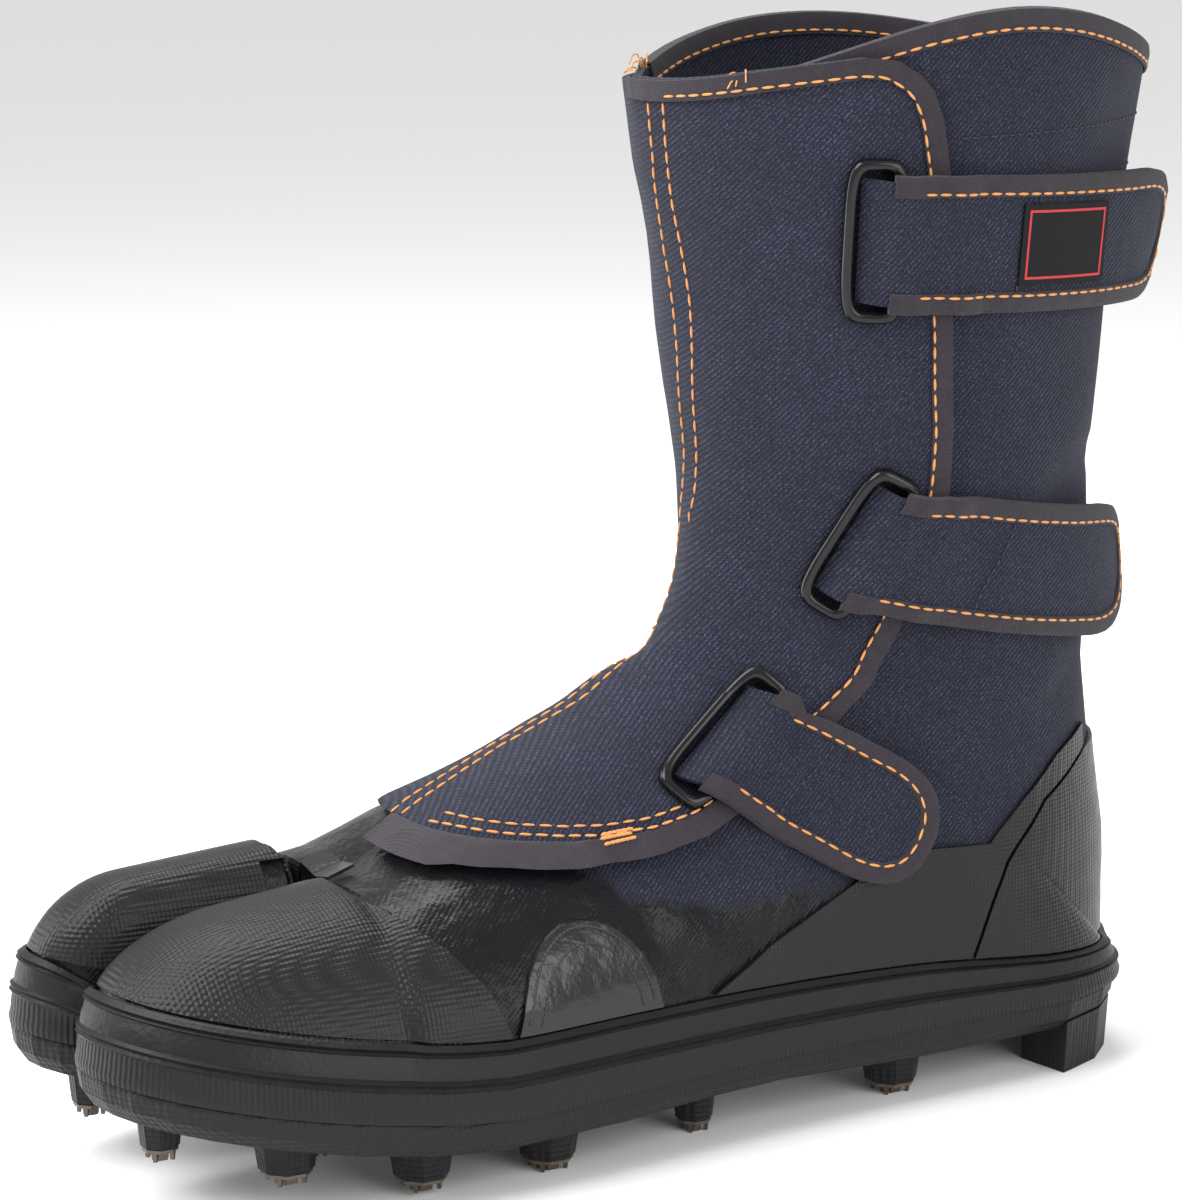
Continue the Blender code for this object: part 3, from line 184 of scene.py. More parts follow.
# Foxing height along the length, share of its height at the ball
FOXING_LINE = [
    (0.00, 0.52), (0.10, 0.62), (0.28, 0.88), (0.45, 0.97), (0.60, 1.00), (0.80, 1.00), (1.00, 1.02),
]
RIB_UV = 10               # units of the foxing's UV per metre along it
FOXING_WALL = (0.03, 0.36, 0.68, 1.0)     # heights at which the tape touches the upper
# Foxing profile: shares of its height and of its thickness, and how much of the ridge is added
FOXING_STEPS = [
    (0.00, 1.00, 0.0), (0.10, 0.98, 0.3), (0.20, 0.90, 0.0), (0.30, 0.84, 0.0), (0.40, 0.76, 0.0),
    (0.44, 0.76, 1.0), (0.48, 0.72, 0.2), (0.52, 0.72, 1.0), (0.56, 0.64, 0.0), (0.66, 0.58, 0.0),
    (0.76, 0.52, 0.0), (0.84, 0.48, 0.0), (0.87, 0.48, 1.0), (0.90, 0.44, 0.2), (0.93, 0.44, 1.0),
    (0.97, 0.36, 0.3), (1.00, 0.26, 0.0),
]

# Soft troughs pressed into the cloth: side, line as (along, up), half width and depth in metres
CREASES = [
    ("lateral", [(0.335, 1.02), (0.255, 0.93), (0.165, 0.985)], 0.0060, 0.0016),
    ("lateral", [(0.300, 0.84), (0.215, 0.77), (0.110, 0.86)], 0.0065, 0.0013),
    ("lateral", [(0.245, 1.10), (0.140, 1.065), (0.050, 1.12)], 0.0070, 0.0012),
    ("lateral", [(0.340, 0.700), (0.270, 0.640), (0.200, 0.655)], 0.0050, 0.0009),
    ("lateral", [(0.120, 1.26), (0.060, 1.33), (0.020, 1.30)], 0.0080, 0.0012),
    ("lateral", [(0.400, 1.02), (0.440, 1.00), (0.475, 0.985)], 0.0060, 0.0012),
    ("lateral", [(0.420, 0.90), (0.470, 0.905), (0.520, 0.860)], 0.0065, 0.0009),
    ("lateral", [(0.655, 0.560), (0.665, 0.470), (0.660, 0.330)], 0.0035, 0.0009),
    ("lateral", [(0.688, 0.500), (0.682, 0.430), (0.690, 0.330)], 0.0030, 0.0006),
    ("lateral", [(0.560, 0.540), (0.545, 0.430), (0.520, 0.300)], 0.0040, 0.0009),
    ("lateral", [(0.500, 0.520), (0.470, 0.400), (0.430, 0.330)], 0.0045, 0.0008),
    ("lateral", [(0.400, 0.560), (0.360, 0.500), (0.310, 0.540)], 0.0045, 0.0007),
    ("medial", [(0.440, 0.98), (0.330, 0.90), (0.190, 0.96)], 0.0065, 0.0016),
    ("medial", [(0.400, 0.82), (0.290, 0.74), (0.160, 0.82)], 0.0065, 0.0013),
    ("medial", [(0.300, 1.14), (0.180, 1.08), (0.060, 1.13)], 0.0075, 0.0012),
    ("medial", [(0.620, 0.560), (0.560, 0.470), (0.500, 0.360)], 0.0045, 0.0010),
    ("medial", [(0.540, 0.640), (0.480, 0.520), (0.420, 0.440)], 0.0055, 0.0010),
    ("medial", [(0.260, 1.50), (0.230, 1.30), (0.240, 1.16)], 0.0085, 0.0010),
]
RISE_LIMIT = 0.00045      # the cloth rises no further than this, so that it clears the straps
DRAPE = 0.0022            # height of the cloth's slow waves
DRAPE_SIZE = 0.034        # their length

# Distances used while the shapes are worked out
MERGE = 2e-5              # points nearer than this become one
EMPTY_FACE = 1e-11        # faces smaller than this, in square metres, are dropped
PROBE = 0.02              # a ray looks for the boot's surface from this far
WALL_PROBE = 0.008        # the same for the upper's wall, from inside the upper
SHARP_ANGLE = 42.0        # edges over this many degrees stay sharp


# Curves through the tables


def through(points, values, at):
    """A smooth curve through the table's points that never overshoots them."""
    points, values, at = (np.asarray(item, float) for item in (points, values, at))
    steps = np.diff(points)
    slopes = np.diff(values) / steps
    tangents = np.concatenate([slopes[:1], np.zeros(len(slopes) - 1), slopes[-1:]])
    same_way = slopes[:-1] * slopes[1:] > 0
    before, after = 2 * steps[1:] + steps[:-1], steps[1:] + 2 * steps[:-1]
    safe = np.where(slopes == 0, 1.0, slopes)
    mean = (before + after) / (before / safe[:-1] + after / safe[1:])
    tangents[1:-1] = np.where(same_way, mean, 0.0)
    index = np.clip(np.searchsorted(points, at, side="right") - 1, 0, len(steps) - 1)
    share = (np.clip(at, points[0], points[-1]) - points[index]) / steps[index]
    rise = 3 * share ** 2 - 2 * share ** 3
    return (values[index] * (1 - rise) + values[index + 1] * rise
            + steps[index] * (tangents[index] * share * (1 - share) ** 2
                              - tangents[index + 1] * share ** 2 * (1 - share)))


def ease(share):
    share = min(max(share, 0.0), 1.0)
    return share * share * (3 - 2 * share)


def round_off(share, power):
    """Falls from 1 to 0 as share goes from 0 to 1, along a quarter of a rounded square."""
    share = min(max(share, 0.0), 1.0)
    return (1 - share ** power) ** (1 / power)


def along(y):
    return (HEEL_Y - y) / LENGTH


def place(share):
    return HEEL_Y - share * LENGTH


def level(share):
    """Height for a share that is 0 at the sole top, 1 at the instep break and 2 at the collar."""
    return SOLE_TOP + INSTEP_HEIGHT * min(share, 1.0) + SHAFT_RISE * max(share - 1.0, 0.0)


def spring(share):
    return TOE_SPRING * (max(share - SPRING_START, 0.0) / (1 - SPRING_START)) ** 1.3


def plan_half_width(side, share):
    """Distance from the middle line to the upper's edge at the sole, before the toes close."""
    column = 1 if side == "lateral" else 2
    width = through([row[0] for row in PLAN], [row[column] for row in PLAN], share) * HALF_BALL
    return float(width) * round_off((HEEL_ROUND - share) / HEEL_ROUND, 2.1)


# Sections of the upper


def spaced(curve, count, reach=1.0):
    """Points at equal steps along a curve, as far as the given share of it."""
    lengths = np.concatenate([[0.0], np.cumsum(np.linalg.norm(np.diff(curve, axis=0), axis=1))])
    wanted = np.linspace(0.0, lengths[-1] * reach, count + 1)
    return np.stack([np.interp(wanted, lengths, curve[:, axis]) for axis in range(curve.shape[1])], axis=1)


def toe_section(side, share, count):
    """From the outer foot of one toe's section over its ridge and down into the split."""
    toe = TOES[side]
    sign = 1.0 if side == "lateral" else -1.0
    tip = toe["tip"]
    outer_close = round_off((share - toe["outer_round"]) / (tip - toe["outer_round"]), 2.2)
    inner_close = round_off((share - toe["inner_round"]) / (tip - toe["inner_round"]), 2.0)
    top_close = round_off((share - toe["top_round"]) / (tip - toe["top_round"]), 2.2)
    tip_x = toe["tip_x"] * HALF_BALL
    outer = tip_x + (sign * plan_half_width(side, share) - tip_x) * outer_close
    inner = tip_x + (CLEFT_X + sign * CLEFT_GAP / 2 - tip_x) * inner_close
    ridge = tip_x + (toe["ridge_x"] * HALF_BALL - tip_x) * min(outer_close, inner_close)
    foot = SOLE_TOP + spring(share)
    run = max(share - CLEFT_ROOT, 0.0) / (tip - CLEFT_ROOT)
    crest = SOLE_TOP + INSTEP_HEIGHT * (toe["root_height"] * (1 - run) + toe["tip_height"] * run)
    nose = SOLE_TOP + spring(tip) + INSTEP_HEIGHT * NOSE_HEIGHT
    height = nose + (crest - nose) * top_close - foot
    turn = np.linspace(0.0, math.pi / 2, 24)
    curve = []
    for edge, power, angles in ((outer, 2 / toe["outer_power"], turn),
                                (inner, 2 / toe["inner_power"], turn[-2::-1])):
        curve += [(ridge + (edge - ridge) * max(math.cos(angle), 0.0) ** power,
                   foot + height * math.sin(angle) ** power) for angle in angles]
    y = place(share)
    return spaced(np.array([(x, y, z) for x, z in curve]), count)


def section_values(station):
    rows = np.arange(len(SECTIONS))
    return {name: float(through(rows, [row[column] for row in SECTIONS], station))
            for column, name in enumerate(SECTION_NAMES)}


def arch_section(side, station, count):
    """From the outer foot of a section behind the split up to the middle of its front."""
    row = section_values(station)
    sign = 1.0 if side == "lateral" else -1.0
    foot_height = spring(row["rear"]) if row["rear_up"] == 0.0 else 0.0
    rear = np.array([place(row["rear"]), level(row["rear_up"]) + foot_height])
    front = np.array([place(row["front"]), level(row["front_up"])])
    foot = plan_half_width(side, row["rear"]) if row["rear_up"] == 0.0 else 0.0
    wide = max(row[side] * HALF_BALL, foot)
    belly, power = row["belly"], row["power"]
    curve = []
    for turn in np.linspace(0.0, 1.0, 49):
        up = 0.5 - 0.5 * math.cos(math.pi * turn)
        if up < belly:
            width = foot + (wide - foot) * round_off((belly - up) / belly, 2.0)
            shift = 0.0
        else:
            width = wide * round_off((up - belly) / (1 - belly), power)
            shift = row["ridge"] * HALF_BALL * ease((up - belly) / (1 - belly))
        y, z = rear + (front - rear) * up
        curve.append((shift + sign * width, y, z))
    curve = np.array(curve)
    points = spaced(curve, count, 1 - 0.25 / count)
    rise = COLLAR_RISE_OUTER if side == "lateral" else COLLAR_RISE_INNER
    fade = ease((station - COLLAR_RISE_START) / (COLLAR - COLLAR_RISE_START))
    points[:, 2] += rise * fade * np.sin(np.pi * np.linspace(0.0, 1.0, count + 1)) ** 2
    return points


def section(side, station, count=COLUMNS):
    """One half of a section. Stations run from -1 at the toe tip over 0 at the split's root to the collar."""
    if station < 0:
        share = CLEFT_ROOT + (TOES[side]["tip"] - CLEFT_ROOT) * math.sin(-station * math.pi / 2)
        return toe_section(side, share, count)
    share = section_values(station)["rear"]
    behind = (CLEFT_ROOT - share) * LENGTH
    if behind >= CLEFT_RISE + VALLEY_LENGTH:
        return arch_section(side, station, count)
    valley = VALLEY_DEPTH * (1 - ease((behind - CLEFT_RISE) / VALLEY_LENGTH))
    join = ease(behind / CLEFT_RISE) * (1 - valley)
    return toe_section(side, share, count) * (1 - join) + arch_section(side, station, count) * join


def station_behind(distance):
    """The station whose foot lies that far behind the root of the split."""
    return distance / (LENGTH * (SECTIONS[0][0] - SECTIONS[1][0]))


def upper_stations(steps=1):
    toes = [-1 + step / (TOE_ROWS * steps) for step in range(TOE_ROWS * steps)]
    root = [0.0] + [station_behind(part * CLEFT_RISE) for part in (0.3, 0.6, 1.0)] + [station_behind(0.014)]
    binding = COLLAR - BINDING_WIDTH / (SHAFT_RISE * 0.24)
    spans = [1.0, 2.0, 2.5, 3.0, 3.5, 4.0, 5.0, 5.5, 6.0, 6.4, 6.75, 7.0, 7.5, 8.0, 9.0,
             10.0, 11.0, 11.5, 12.0, 13.0, 13.5, binding, COLLAR]
    if steps > 1:
        spans = [first + (second - first) * part / steps
                 for first, second in zip(spans, spans[1:]) for part in range(steps)] + [spans[-1]]
    return toes + root + spans


# Sheets and solids


def raised(rows, rise):
    """The rows with one more above the collar, for the panels that end higher than the collar."""
    extra = []
    for low, high in zip(rows[-2], rows[-1]):
        way = high - low
        extra.append(high + way / np.linalg.norm(way, axis=1)[:, None] * rise)
    return rows + [tuple(extra)]


def sheet_mesh(rows, closed_from):
    """A sheet through rows of points in two halves. The halves join along the front from one row on."""
    mesh = bmesh.new()
    grid = [[[mesh.verts.new(point) for point in half] for half in row] for row in rows]
    for number, (low, high) in enumerate(zip(grid, grid[1:])):
        for half in (0, 1):
            for column in range(len(low[half]) - 1):
                quad = [low[half][column], high[half][column], high[half][column + 1], low[half][column + 1]]
                mesh.faces.new(quad if half == 0 else quad[::-1])
        if number >= closed_from:
            mesh.faces.new([low[0][-1], high[0][-1], high[1][-1], low[1][-1]])
    bmesh.ops.remove_doubles(mesh, verts=mesh.verts, dist=MERGE)
    bad = [face for face in mesh.faces if face.calc_area() < EMPTY_FACE]
    bmesh.ops.delete(mesh, geom=bad, context="FACES_ONLY")
    mesh.normal_update()
    return mesh


def shell(sheet, inner, outer, keep=None):
    """A closed solid between two distances from a sheet, over the faces that are kept."""
    solid = bmesh.new()
    low, high = {}, {}
    for vertex in sheet.verts:
        way = vertex.normal.copy()
        if vertex.co.z < SOLE_TOP + spring(along(vertex.co.y)) + GAP / 2:
            way.z = 0.0
            way.normalize()
        low[vertex] = solid.verts.new(vertex.co + way * inner)
        high[vertex] = solid.verts.new(vertex.co + way * outer)
    faces = [face for face in sheet.faces if keep is None or keep(face)]
    kept = set(faces)
    for face in faces:
        solid.faces.new([high[vertex] for vertex in face.verts])
        solid.faces.new([low[vertex] for vertex in reversed(face.verts)])
        for loop in face.loops:
            if not any(other in kept and other is not face for other in loop.edge.link_faces):
                first, second = loop.vert, loop.link_loop_next.vert
                solid.faces.new([high[second], high[first], low[first], low[second]])
    loose = [vertex for vertex in solid.verts if not vertex.link_faces]
    bmesh.ops.delete(solid, geom=loose, context="VERTS")
    return solid


def add_object(name, mesh):
    """Turns a bmesh into a named object."""
    bmesh.ops.triangulate(mesh, faces=mesh.faces)
    mesh.normal_update()
    data = bpy.data.meshes.new(name)
    mesh.to_mesh(data)
    mesh.free()
    thing = bpy.data.objects.new(name, data)
    bpy.context.scene.collection.objects.link(thing)
    return thing


def combine(thing, other, operation):
    """Joins, cuts or keeps the common part of two solids, then drops the second one."""
    modifier = thing.modifiers.new(operation.lower(), "BOOLEAN")
    modifier.operation = operation
    modifier.solver = "MANIFOLD"
    modifier.object = other
    evaluated = thing.evaluated_get(bpy.context.evaluated_depsgraph_get())
    data = bpy.data.meshes.new_from_object(evaluated)
    thing.modifiers.clear()
    thing.data = data
    bpy.data.objects.remove(other, do_unlink=True)
    return thing


def tidy(thing):
    """Triangulates a piece after a cut."""
    mesh = bmesh.new()
    mesh.from_mesh(thing.data)
    bmesh.ops.triangulate(mesh, faces=mesh.faces, ngon_method="EAR_CLIP")
    mesh.to_mesh(thing.data)
    mesh.free()
    return thing


def side_prism(outline, x_low, x_high):
    """A prism across the boot. Its outline is seen from the outer side, as points (y, z)."""
    prism = bmesh.new()
    rings = [[prism.verts.new((x, y, z)) for y, z in outline] for x in (x_low, x_high)]
    area = sum(first[0] * second[1] - second[0] * first[1]
               for first, second in zip(outline, outline[1:] + outline[:1]))
    if area < 0:
        rings = [ring[::-1] for ring in rings]
    prism.faces.new(rings[1])
    prism.faces.new(rings[0][::-1])
    for number in range(len(outline)):
        after = (number + 1) % len(outline)
        prism.faces.new([rings[0][number], rings[0][after], rings[1][after], rings[1][number]])
    return add_object("cutter", prism)


# Sole line and foxing

SOLE_STATIONS = [station for station in upper_stations(FINE) if station <= 7.0]


def foot_path():
    """The upper's edge at the sole as a closed path from the heel, outer side first, seen from above."""
    path = []

    def add(point, share, inside, key):
        path.append(dict(point=np.array(point[:2]), share=share, inside=inside, key=key))

    def share_of(point):
        return along(point[1])

    for side in ("lateral", "medial"):
        outer, inner = [], []
        for row, station in enumerate(SOLE_STATIONS):
            points = section(side, station)
            outer.append((points[0], share_of(points[0]), 0.0, (side, "outer", row)))
            if station <= 0:
                from_tip = (TOES[side]["tip"] - share_of(points[-1])) * LENGTH
                inner.append((points[-1], share_of(points[-1]), ease(from_tip / 0.016), (side, "inner", row)))
        if side == "lateral":
            for entry in outer[::-1] + inner[1:]:
                add(*entry)
            add((CLEFT_X, place(CLEFT_ROOT)), CLEFT_ROOT, 1.0, ("middle", "root", 0))
        else:
            for entry in inner[:0:-1] + outer[:-1]:
                add(*entry)
    for number, entry in enumerate(path):
        way = path[(number + 1) % len(path)]["point"] - path[number - 1]["point"]
        way /= np.linalg.norm(way)
        entry["normal"] = np.array((-way[1], way[0]))
    return path


def foxing_height(share):
    return FOXING_HEIGHT * float(through(*zip(*FOXING_LINE), share))


def foxing_top(share):
    return SOLE_TOP + spring(share) + foxing_height(share)


def wall_reaches(path, skin):
    """Distance from the path out to the upper, for each path point and each height in FOXING_WALL.

    Each one is the largest distance around its place, so that straight faces between them clear the upper.
    """
    heights = [low + (high - low) * part
               for low, high in zip(FOXING_WALL, FOXING_WALL[1:]) for part in (0.0, 0.5)]
    heights.append(FOXING_WALL[-1])
    found = []
    for entry, after in zip(path, path[1:] + path[:1]):
        for part in (0.0, 0.25, 0.5, 0.75):
            point = entry["point"] * (1 - part) + after["point"] * part
            way = entry["normal"] * (1 - part) + after["normal"] * part
            way = Vector((*(way / np.linalg.norm(way)), 0.0))
            foot, tall = foxing_span(entry if part == 0 else after)
            starts = [Vector((*point, foot + tall * up)) - way * WALL_PROBE for up in heights]
            hits = [skin.ray_cast(start, way, PROBE)[3] for start in starts]
            found.append([(hit or 0.0) - WALL_PROBE for hit in hits])
    found = np.array(found)
    around = np.max([np.roll(found, shift, axis=0) for shift in range(-3, 4)], axis=0)[::4]
    columns = range(0, len(heights), 2)
    return [[max(row[max(column - 1, 0):column + 2]) for column in columns] for row in around]


def foxing_span(entry):
    """The height of the foxing's foot and its own height at a point of the path."""
    tall = foxing_height(entry["share"]) * (1 - 0.25 * entry["inside"])
    return SOLE_TOP + spring(entry["share"]), tall


def make_foxing(path, sheet):
    """The ridged rubber tape, with its place along the tape and its height kept as a UV for the ribs."""
    rings, walks, walk = [], [], 0.0
    ups = [0.0, *FOXING_WALL[1:], *(up for up, _, _ in FOXING_STEPS[::-1])]
    for number, (entry, reaches) in enumerate(zip(path, wall_reaches(path, BVHTree.FromBMesh(sheet)))):
        if number:
            walk += float(np.linalg.norm(entry["point"] - path[number - 1]["point"]))
        share, inside = entry["share"], entry["inside"]
        foot, tall = foxing_span(entry)
        thick = FOXING_THICKNESS + (CLEFT_EDGE - GAP - FOXING_THICKNESS) * inside
        ridge = FOXING_RIDGE * (1 - inside)
        outs = [reach + GAP for reach in reaches]
        for up, part, ridged in FOXING_STEPS[::-1]:
            outs.append(float(np.interp(up, FOXING_WALL, reaches)) + GAP + thick * part + ridge * ridged)
        ring = []
        for out, up in zip(outs, ups):
            point = Vector((*(entry["point"] + entry["normal"] * out), foot + tall * up))
            point.z += spring(along(point.y)) - spring(share)
            ring.append(point)
        rings.append(ring)
        walks.append(walk)
    thing = add_object("foxing_tape", closed_strip(rings))
    layer = thing.data.uv_layers.new(name="UVMap")
    for loop in thing.data.loops:
        ring, corner = divmod(loop.vertex_index, len(ups))
        layer.data[loop.index].uv = (walks[ring] * RIB_UV, ups[corner])
    return thing


# Panels

# Outlines seen from the side, as (along, up): share of the length from the heel, and height as in SECTIONS
FLAP_EDGE = [
    (0.710, 0.585), (0.692, 0.590), (0.671, 0.584), (0.636, 0.573), (0.596, 0.565), (0.552, 0.565),
    (0.514, 0.576), (0.474, 0.607), (0.412, 0.693), (0.343, 0.850), (0.309, 0.960), (0.297, 1.046),
    (0.276, 1.153), (0.262, 1.299), (0.260, 1.434), (0.266, 1.567), (0.273, 1.700), (0.277, 1.870),
    (0.285, 1.968), (0.294, 2.019), (0.305, 2.045), (0.324, 2.071), (0.349, 2.077), (0.389, 2.064),
    (0.419, 2.052), (0.450, 2.035), (0.480, 2.020),
]
FLAP_SEAM = [
    (0.715, 0.660), (0.700, 0.640), (0.657, 0.640), (0.587, 0.715), (0.510, 0.823), (0.4545, 0.953),
    (0.406, 1.090), (0.378, 1.273), (0.378, 1.450), (0.388, 1.635), (0.398, 1.853), (0.404, 2.020),
]
FLAP_FRONT = [(0.62, 2.020), (0.62, 1.20), (0.80, 0.90)]
FLAP_MIDDLE = -0.16       # where the flap's two outlines meet, share of half the ball width
CAP_EDGE = [(0.706, 0.334), (0.729, 0.426), (0.756, 0.500), (0.776, 0.530),
            (0.790, 0.570), (0.800, 0.700)]
CAP_FRONT = [(1.15, 0.90)]
SIDE_PATCH = dict(middle=0.612, half=0.072, up=0.455, foot=0.16)
CLEFT_PATCH = dict(rear=0.742, front=0.767, low=0.30, high=0.90)
CLEFT_PATCH_X = (-0.009, 0.006)           # its two sides, from the middle of the split
CLEFT_PATCH_THICKNESS = 0.0008
GUARD_TOP = [(0.487, 0.190), (0.410, 0.330), (0.310, 0.470), (0.255, 0.490), (0.195, 0.480),
             (0.160, 0.585), (0.115, 0.690), (0.068, 0.745)]
COUNTER_EDGE = [(0.215, 0.100), (0.210, 0.165), (0.175, 0.415), (0.129, 0.570), (0.062, 0.672),
                (-0.05, 0.700)]
PANEL_GAP = 0.0008        # gap between two rubber panels that meet edge to edge


def outline(points):
    return [(place(share), level(up)) for share, up in points]


def inset(points, distance):
    """An open outline moved to its left, or to its right by a negative distance."""
    moved = []
    for number, (y, z) in enumerate(points):
        before, after = points[max(number - 1, 0)], points[min(number + 1, len(points) - 1)]
        run = math.hypot(after[0] - before[0], after[1] - before[1])
        moved.append((y - (after[1] - before[1]) / run * distance,
                      z + (after[0] - before[0]) / run * distance))
    return moved


def foxing_line(low, high, step=0.03):
    """The foxing's top edge between two shares of the length, as an outline from the heel side on."""
    count = max(int(round((high - low) / step)), 1)
    shares = [low + (high - low) * number / count for number in range(count + 1)]
    return [(place(share), foxing_top(min(max(share, 0.0), 1.0)) + 2 * GAP) for share in shares]


def half_moon(part, start, count):
    """The side patch's outline, or an arc within it, from front to rear. Start is the angle left out."""
    middle, half, foot = (SIDE_PATCH[name] for name in ("middle", "half", "foot"))
    top = SIDE_PATCH["up"] * (0.5 + part / 2)
    return outline([(middle + half * part * math.cos(angle), foot + (top - foot) * math.sin(angle))
                    for angle in np.linspace(start, math.pi - start, count)])


def make_panel(name, sheet, keep, pieces, inner=GAP, thickness=PATCH_THICKNESS):
    """The part of a shell over the upper that lies inside prisms across the boot."""
    panel = add_object(name, shell(sheet, inner, inner + thickness, keep))
    cutter = side_prism(*pieces[0])
    for piece in pieces[1:]:
        combine(cutter, side_prism(*piece), "UNION")
    combine(panel, cutter, "INTERSECT")
    return tidy(panel)


def make_overlays(sheet):
    """The rubber panels on both sides, the heel counter and the patch at the split's root."""
    reach = BALL_WIDTH
    cap = outline(CAP_EDGE + CAP_FRONT) + foxing_line(0.69, 1.15)[::-1]
    moon = [(y, max(z, foxing_top(along(y)) + 2 * GAP)) for y, z in half_moon(1.0, 0.0, 15)]
    guard = outline(GUARD_TOP[1:])
    guard += [(y - PANEL_GAP, z + PANEL_GAP) for y, z in outline(COUNTER_EDGE[4:0:-1])]
    guard += foxing_line(0.213, 0.485)
    counter = outline(COUNTER_EDGE[1:]) + [(place(-0.05), foxing_top(0.0) + 2 * GAP)] + foxing_line(0.0, 0.19)
    for side, low, high in (("lateral", 0.0, reach), ("medial", -reach, 0.0)):
        sign = 1 if side == "lateral" else -1

        def near(face, sign=sign):
            centre = face.calc_center_median()
            return centre.x * sign > 0 and place(0.75) < centre.y and centre.z < level(0.95)

        def on_toe(face, sign=sign):
            centre = face.calc_center_median()
            in_root = abs(centre.x - CLEFT_X) < 1.6 * CLEFT_GAP and centre.y > place(CLEFT_ROOT) - CLEFT_GAP
            return centre.y < place(0.62) and (centre.x - CLEFT_X) * sign > 0 and not in_root

        make_panel("toe_cap_" + side + "_rubber", sheet, on_toe, [(cap, low + CLEFT_X, high + CLEFT_X)])
        make_panel("side_patch_" + side + "_rubber", sheet, near, [(moon, low, high)])
        make_panel("quarter_guard_" + side + "_rubber", sheet, near, [(guard, low, high)])

    def on_heel(face):
        centre = face.calc_center_median()
        return centre.y > place(0.30) and level(0.07) < centre.z < level(0.95)

    def on_root(face):
        return place(0.785) < face.calc_center_median().y < place(0.70)

    make_panel("heel_counter_rubber", sheet, on_heel, [(counter, -reach, reach)])
    rear, front, low, high = (CLEFT_PATCH[name] for name in ("rear", "front", "low", "high"))
    patch = outline([(rear, low), (front, low), (front, high), (rear, high)])
    sides = [CLEFT_X + side for side in CLEFT_PATCH_X]
    make_panel("cleft_patch_rubber", sheet, on_root, [(patch, *sides)],
               GAP + PATCH_THICKNESS + GAP, CLEFT_PATCH_THICKNESS)


def make_flap(sheet):
    """The front flap, and the tape along its free edge and its top."""
    reach = BALL_WIDTH
    middle = FLAP_MIDDLE * HALF_BALL
    outer = outline(FLAP_EDGE + FLAP_FRONT)
    inner = outline(FLAP_SEAM + FLAP_FRONT)

    def on_front(face):
        centre = face.calc_center_median()
        return place(0.75) < centre.y < place(0.18) and centre.z > level(0.40)

    flap = make_panel("front_flap_cloth", sheet, on_front, [(outer, middle, reach), (inner, -reach, middle)],
                      GAP, FLAP_THICKNESS)
    tapes = []
    for line in ([(0.722, 0.592)] + FLAP_EDGE[:-2], FLAP_EDGE[-4:] + [(0.510, 2.008)]):
        edge = outline(line)
        tapes.append((edge + inset(edge, BINDING_WIDTH)[::-1], middle * 1.3, reach))
    binding = make_panel("flap_binding_cloth", sheet, on_front, tapes,
                         GAP + FLAP_THICKNESS + GAP, BINDING_THICKNESS)
    return flap, binding


# Frames and straps

# Middle of each frame: share of the length and height as in SECTIONS. Tilt: degrees that the frame leans
# back. Slope: how far the strap falls per metre. Reach: length of the strap from the middle of the frame to
# its tip. Stand: how far the tip stands away from the boot.
STRAPS = {
    "top": dict(along=0.332, up=1.765, tilt=0.0, slope=0.04, reach=0.104, stand=0.0100),
    "middle": dict(along=0.324, up=1.231, tilt=24.0, slope=0.17, reach=0.093, stand=0.0070),
    "bottom": dict(along=0.436, up=0.811, tilt=52.0, slope=0.72, reach=0.058, stand=0.0030),
}
FRAME_HEIGHT = 0.0026
FRAME_STEPS = 64
# Section of the frame's bar: shares of its width, from the middle of the bar, and of its height
FRAME_PROFILE = [
    (-0.5, 0.0), (-0.5, 0.55), (-0.38, 0.85), (-0.18, 1.0),
    (0.18, 1.0), (0.38, 0.85), (0.5, 0.55), (0.5, 0.0),
]
STRAP_TIP = 0.020         # length over which the tip rounds off
STRAP_FREE = 0.45         # share of the reach from which the strap starts to stand away
STRAP_PARTS = (-1.0, -0.5, 0.0, 0.5, 1.0)
SLOT_GAP = 0.0004
SLOT_STEPS = 16
SLOT_DEPTH = 0.012        # how far the slot's cutter reaches on each side of the upper
ON_UPPER = 2.5 * GAP
FRAME_LIFT = GAP + FLAP_THICKNESS + 3 * GAP
STRAP_LIFT = GAP + FLAP_THICKNESS + GAP + BINDING_THICKNESS + 3 * GAP
FRAME_BACK = FRAME_WIDTH / 2 - FRAME_BAR / 2
STRAP_START = FRAME_BAR + 0.0012 - FRAME_WIDTH / 2
STRAP_PINCH = 0.0012      # the strap is this much narrower on each side in its frame
STRAP_TURN = 0.020        # length over which the strap turns from its frame's direction to its own
STRAP_CORNER = 2.4        # 2 is a round tip, more is boxier
WALK_STEP = 0.002         # the strap's middle is followed in steps of this length


def strap_frame(skin, strap):
    """The frame's middle, the direction across it, its long direction and the surface's normal."""
    start = Vector((BALL_WIDTH, place(strap["along"]), level(strap["up"])))
    at, normal = skin.ray_cast(start, Vector((-1, 0, 0)), 2 * BALL_WIDTH)[:2]
    normal = normal if normal.x > 0 else -normal
    tilt = math.radians(strap["tilt"])
    heading = Vector((0, math.cos(tilt), -math.sin(tilt)))
    heading -= normal * heading.dot(normal)
    heading.normalize()
    return at, heading, normal.cross(heading).normalized(), normal


def rounded(angle, half_long, half_wide, power=4.5):
    """A point of a rounded oblong."""
    across, up = math.cos(angle), math.sin(angle)
    return (math.copysign(abs(across) ** (2 / power), across) * half_wide,
            math.copysign(abs(up) ** (2 / power), up) * half_long)


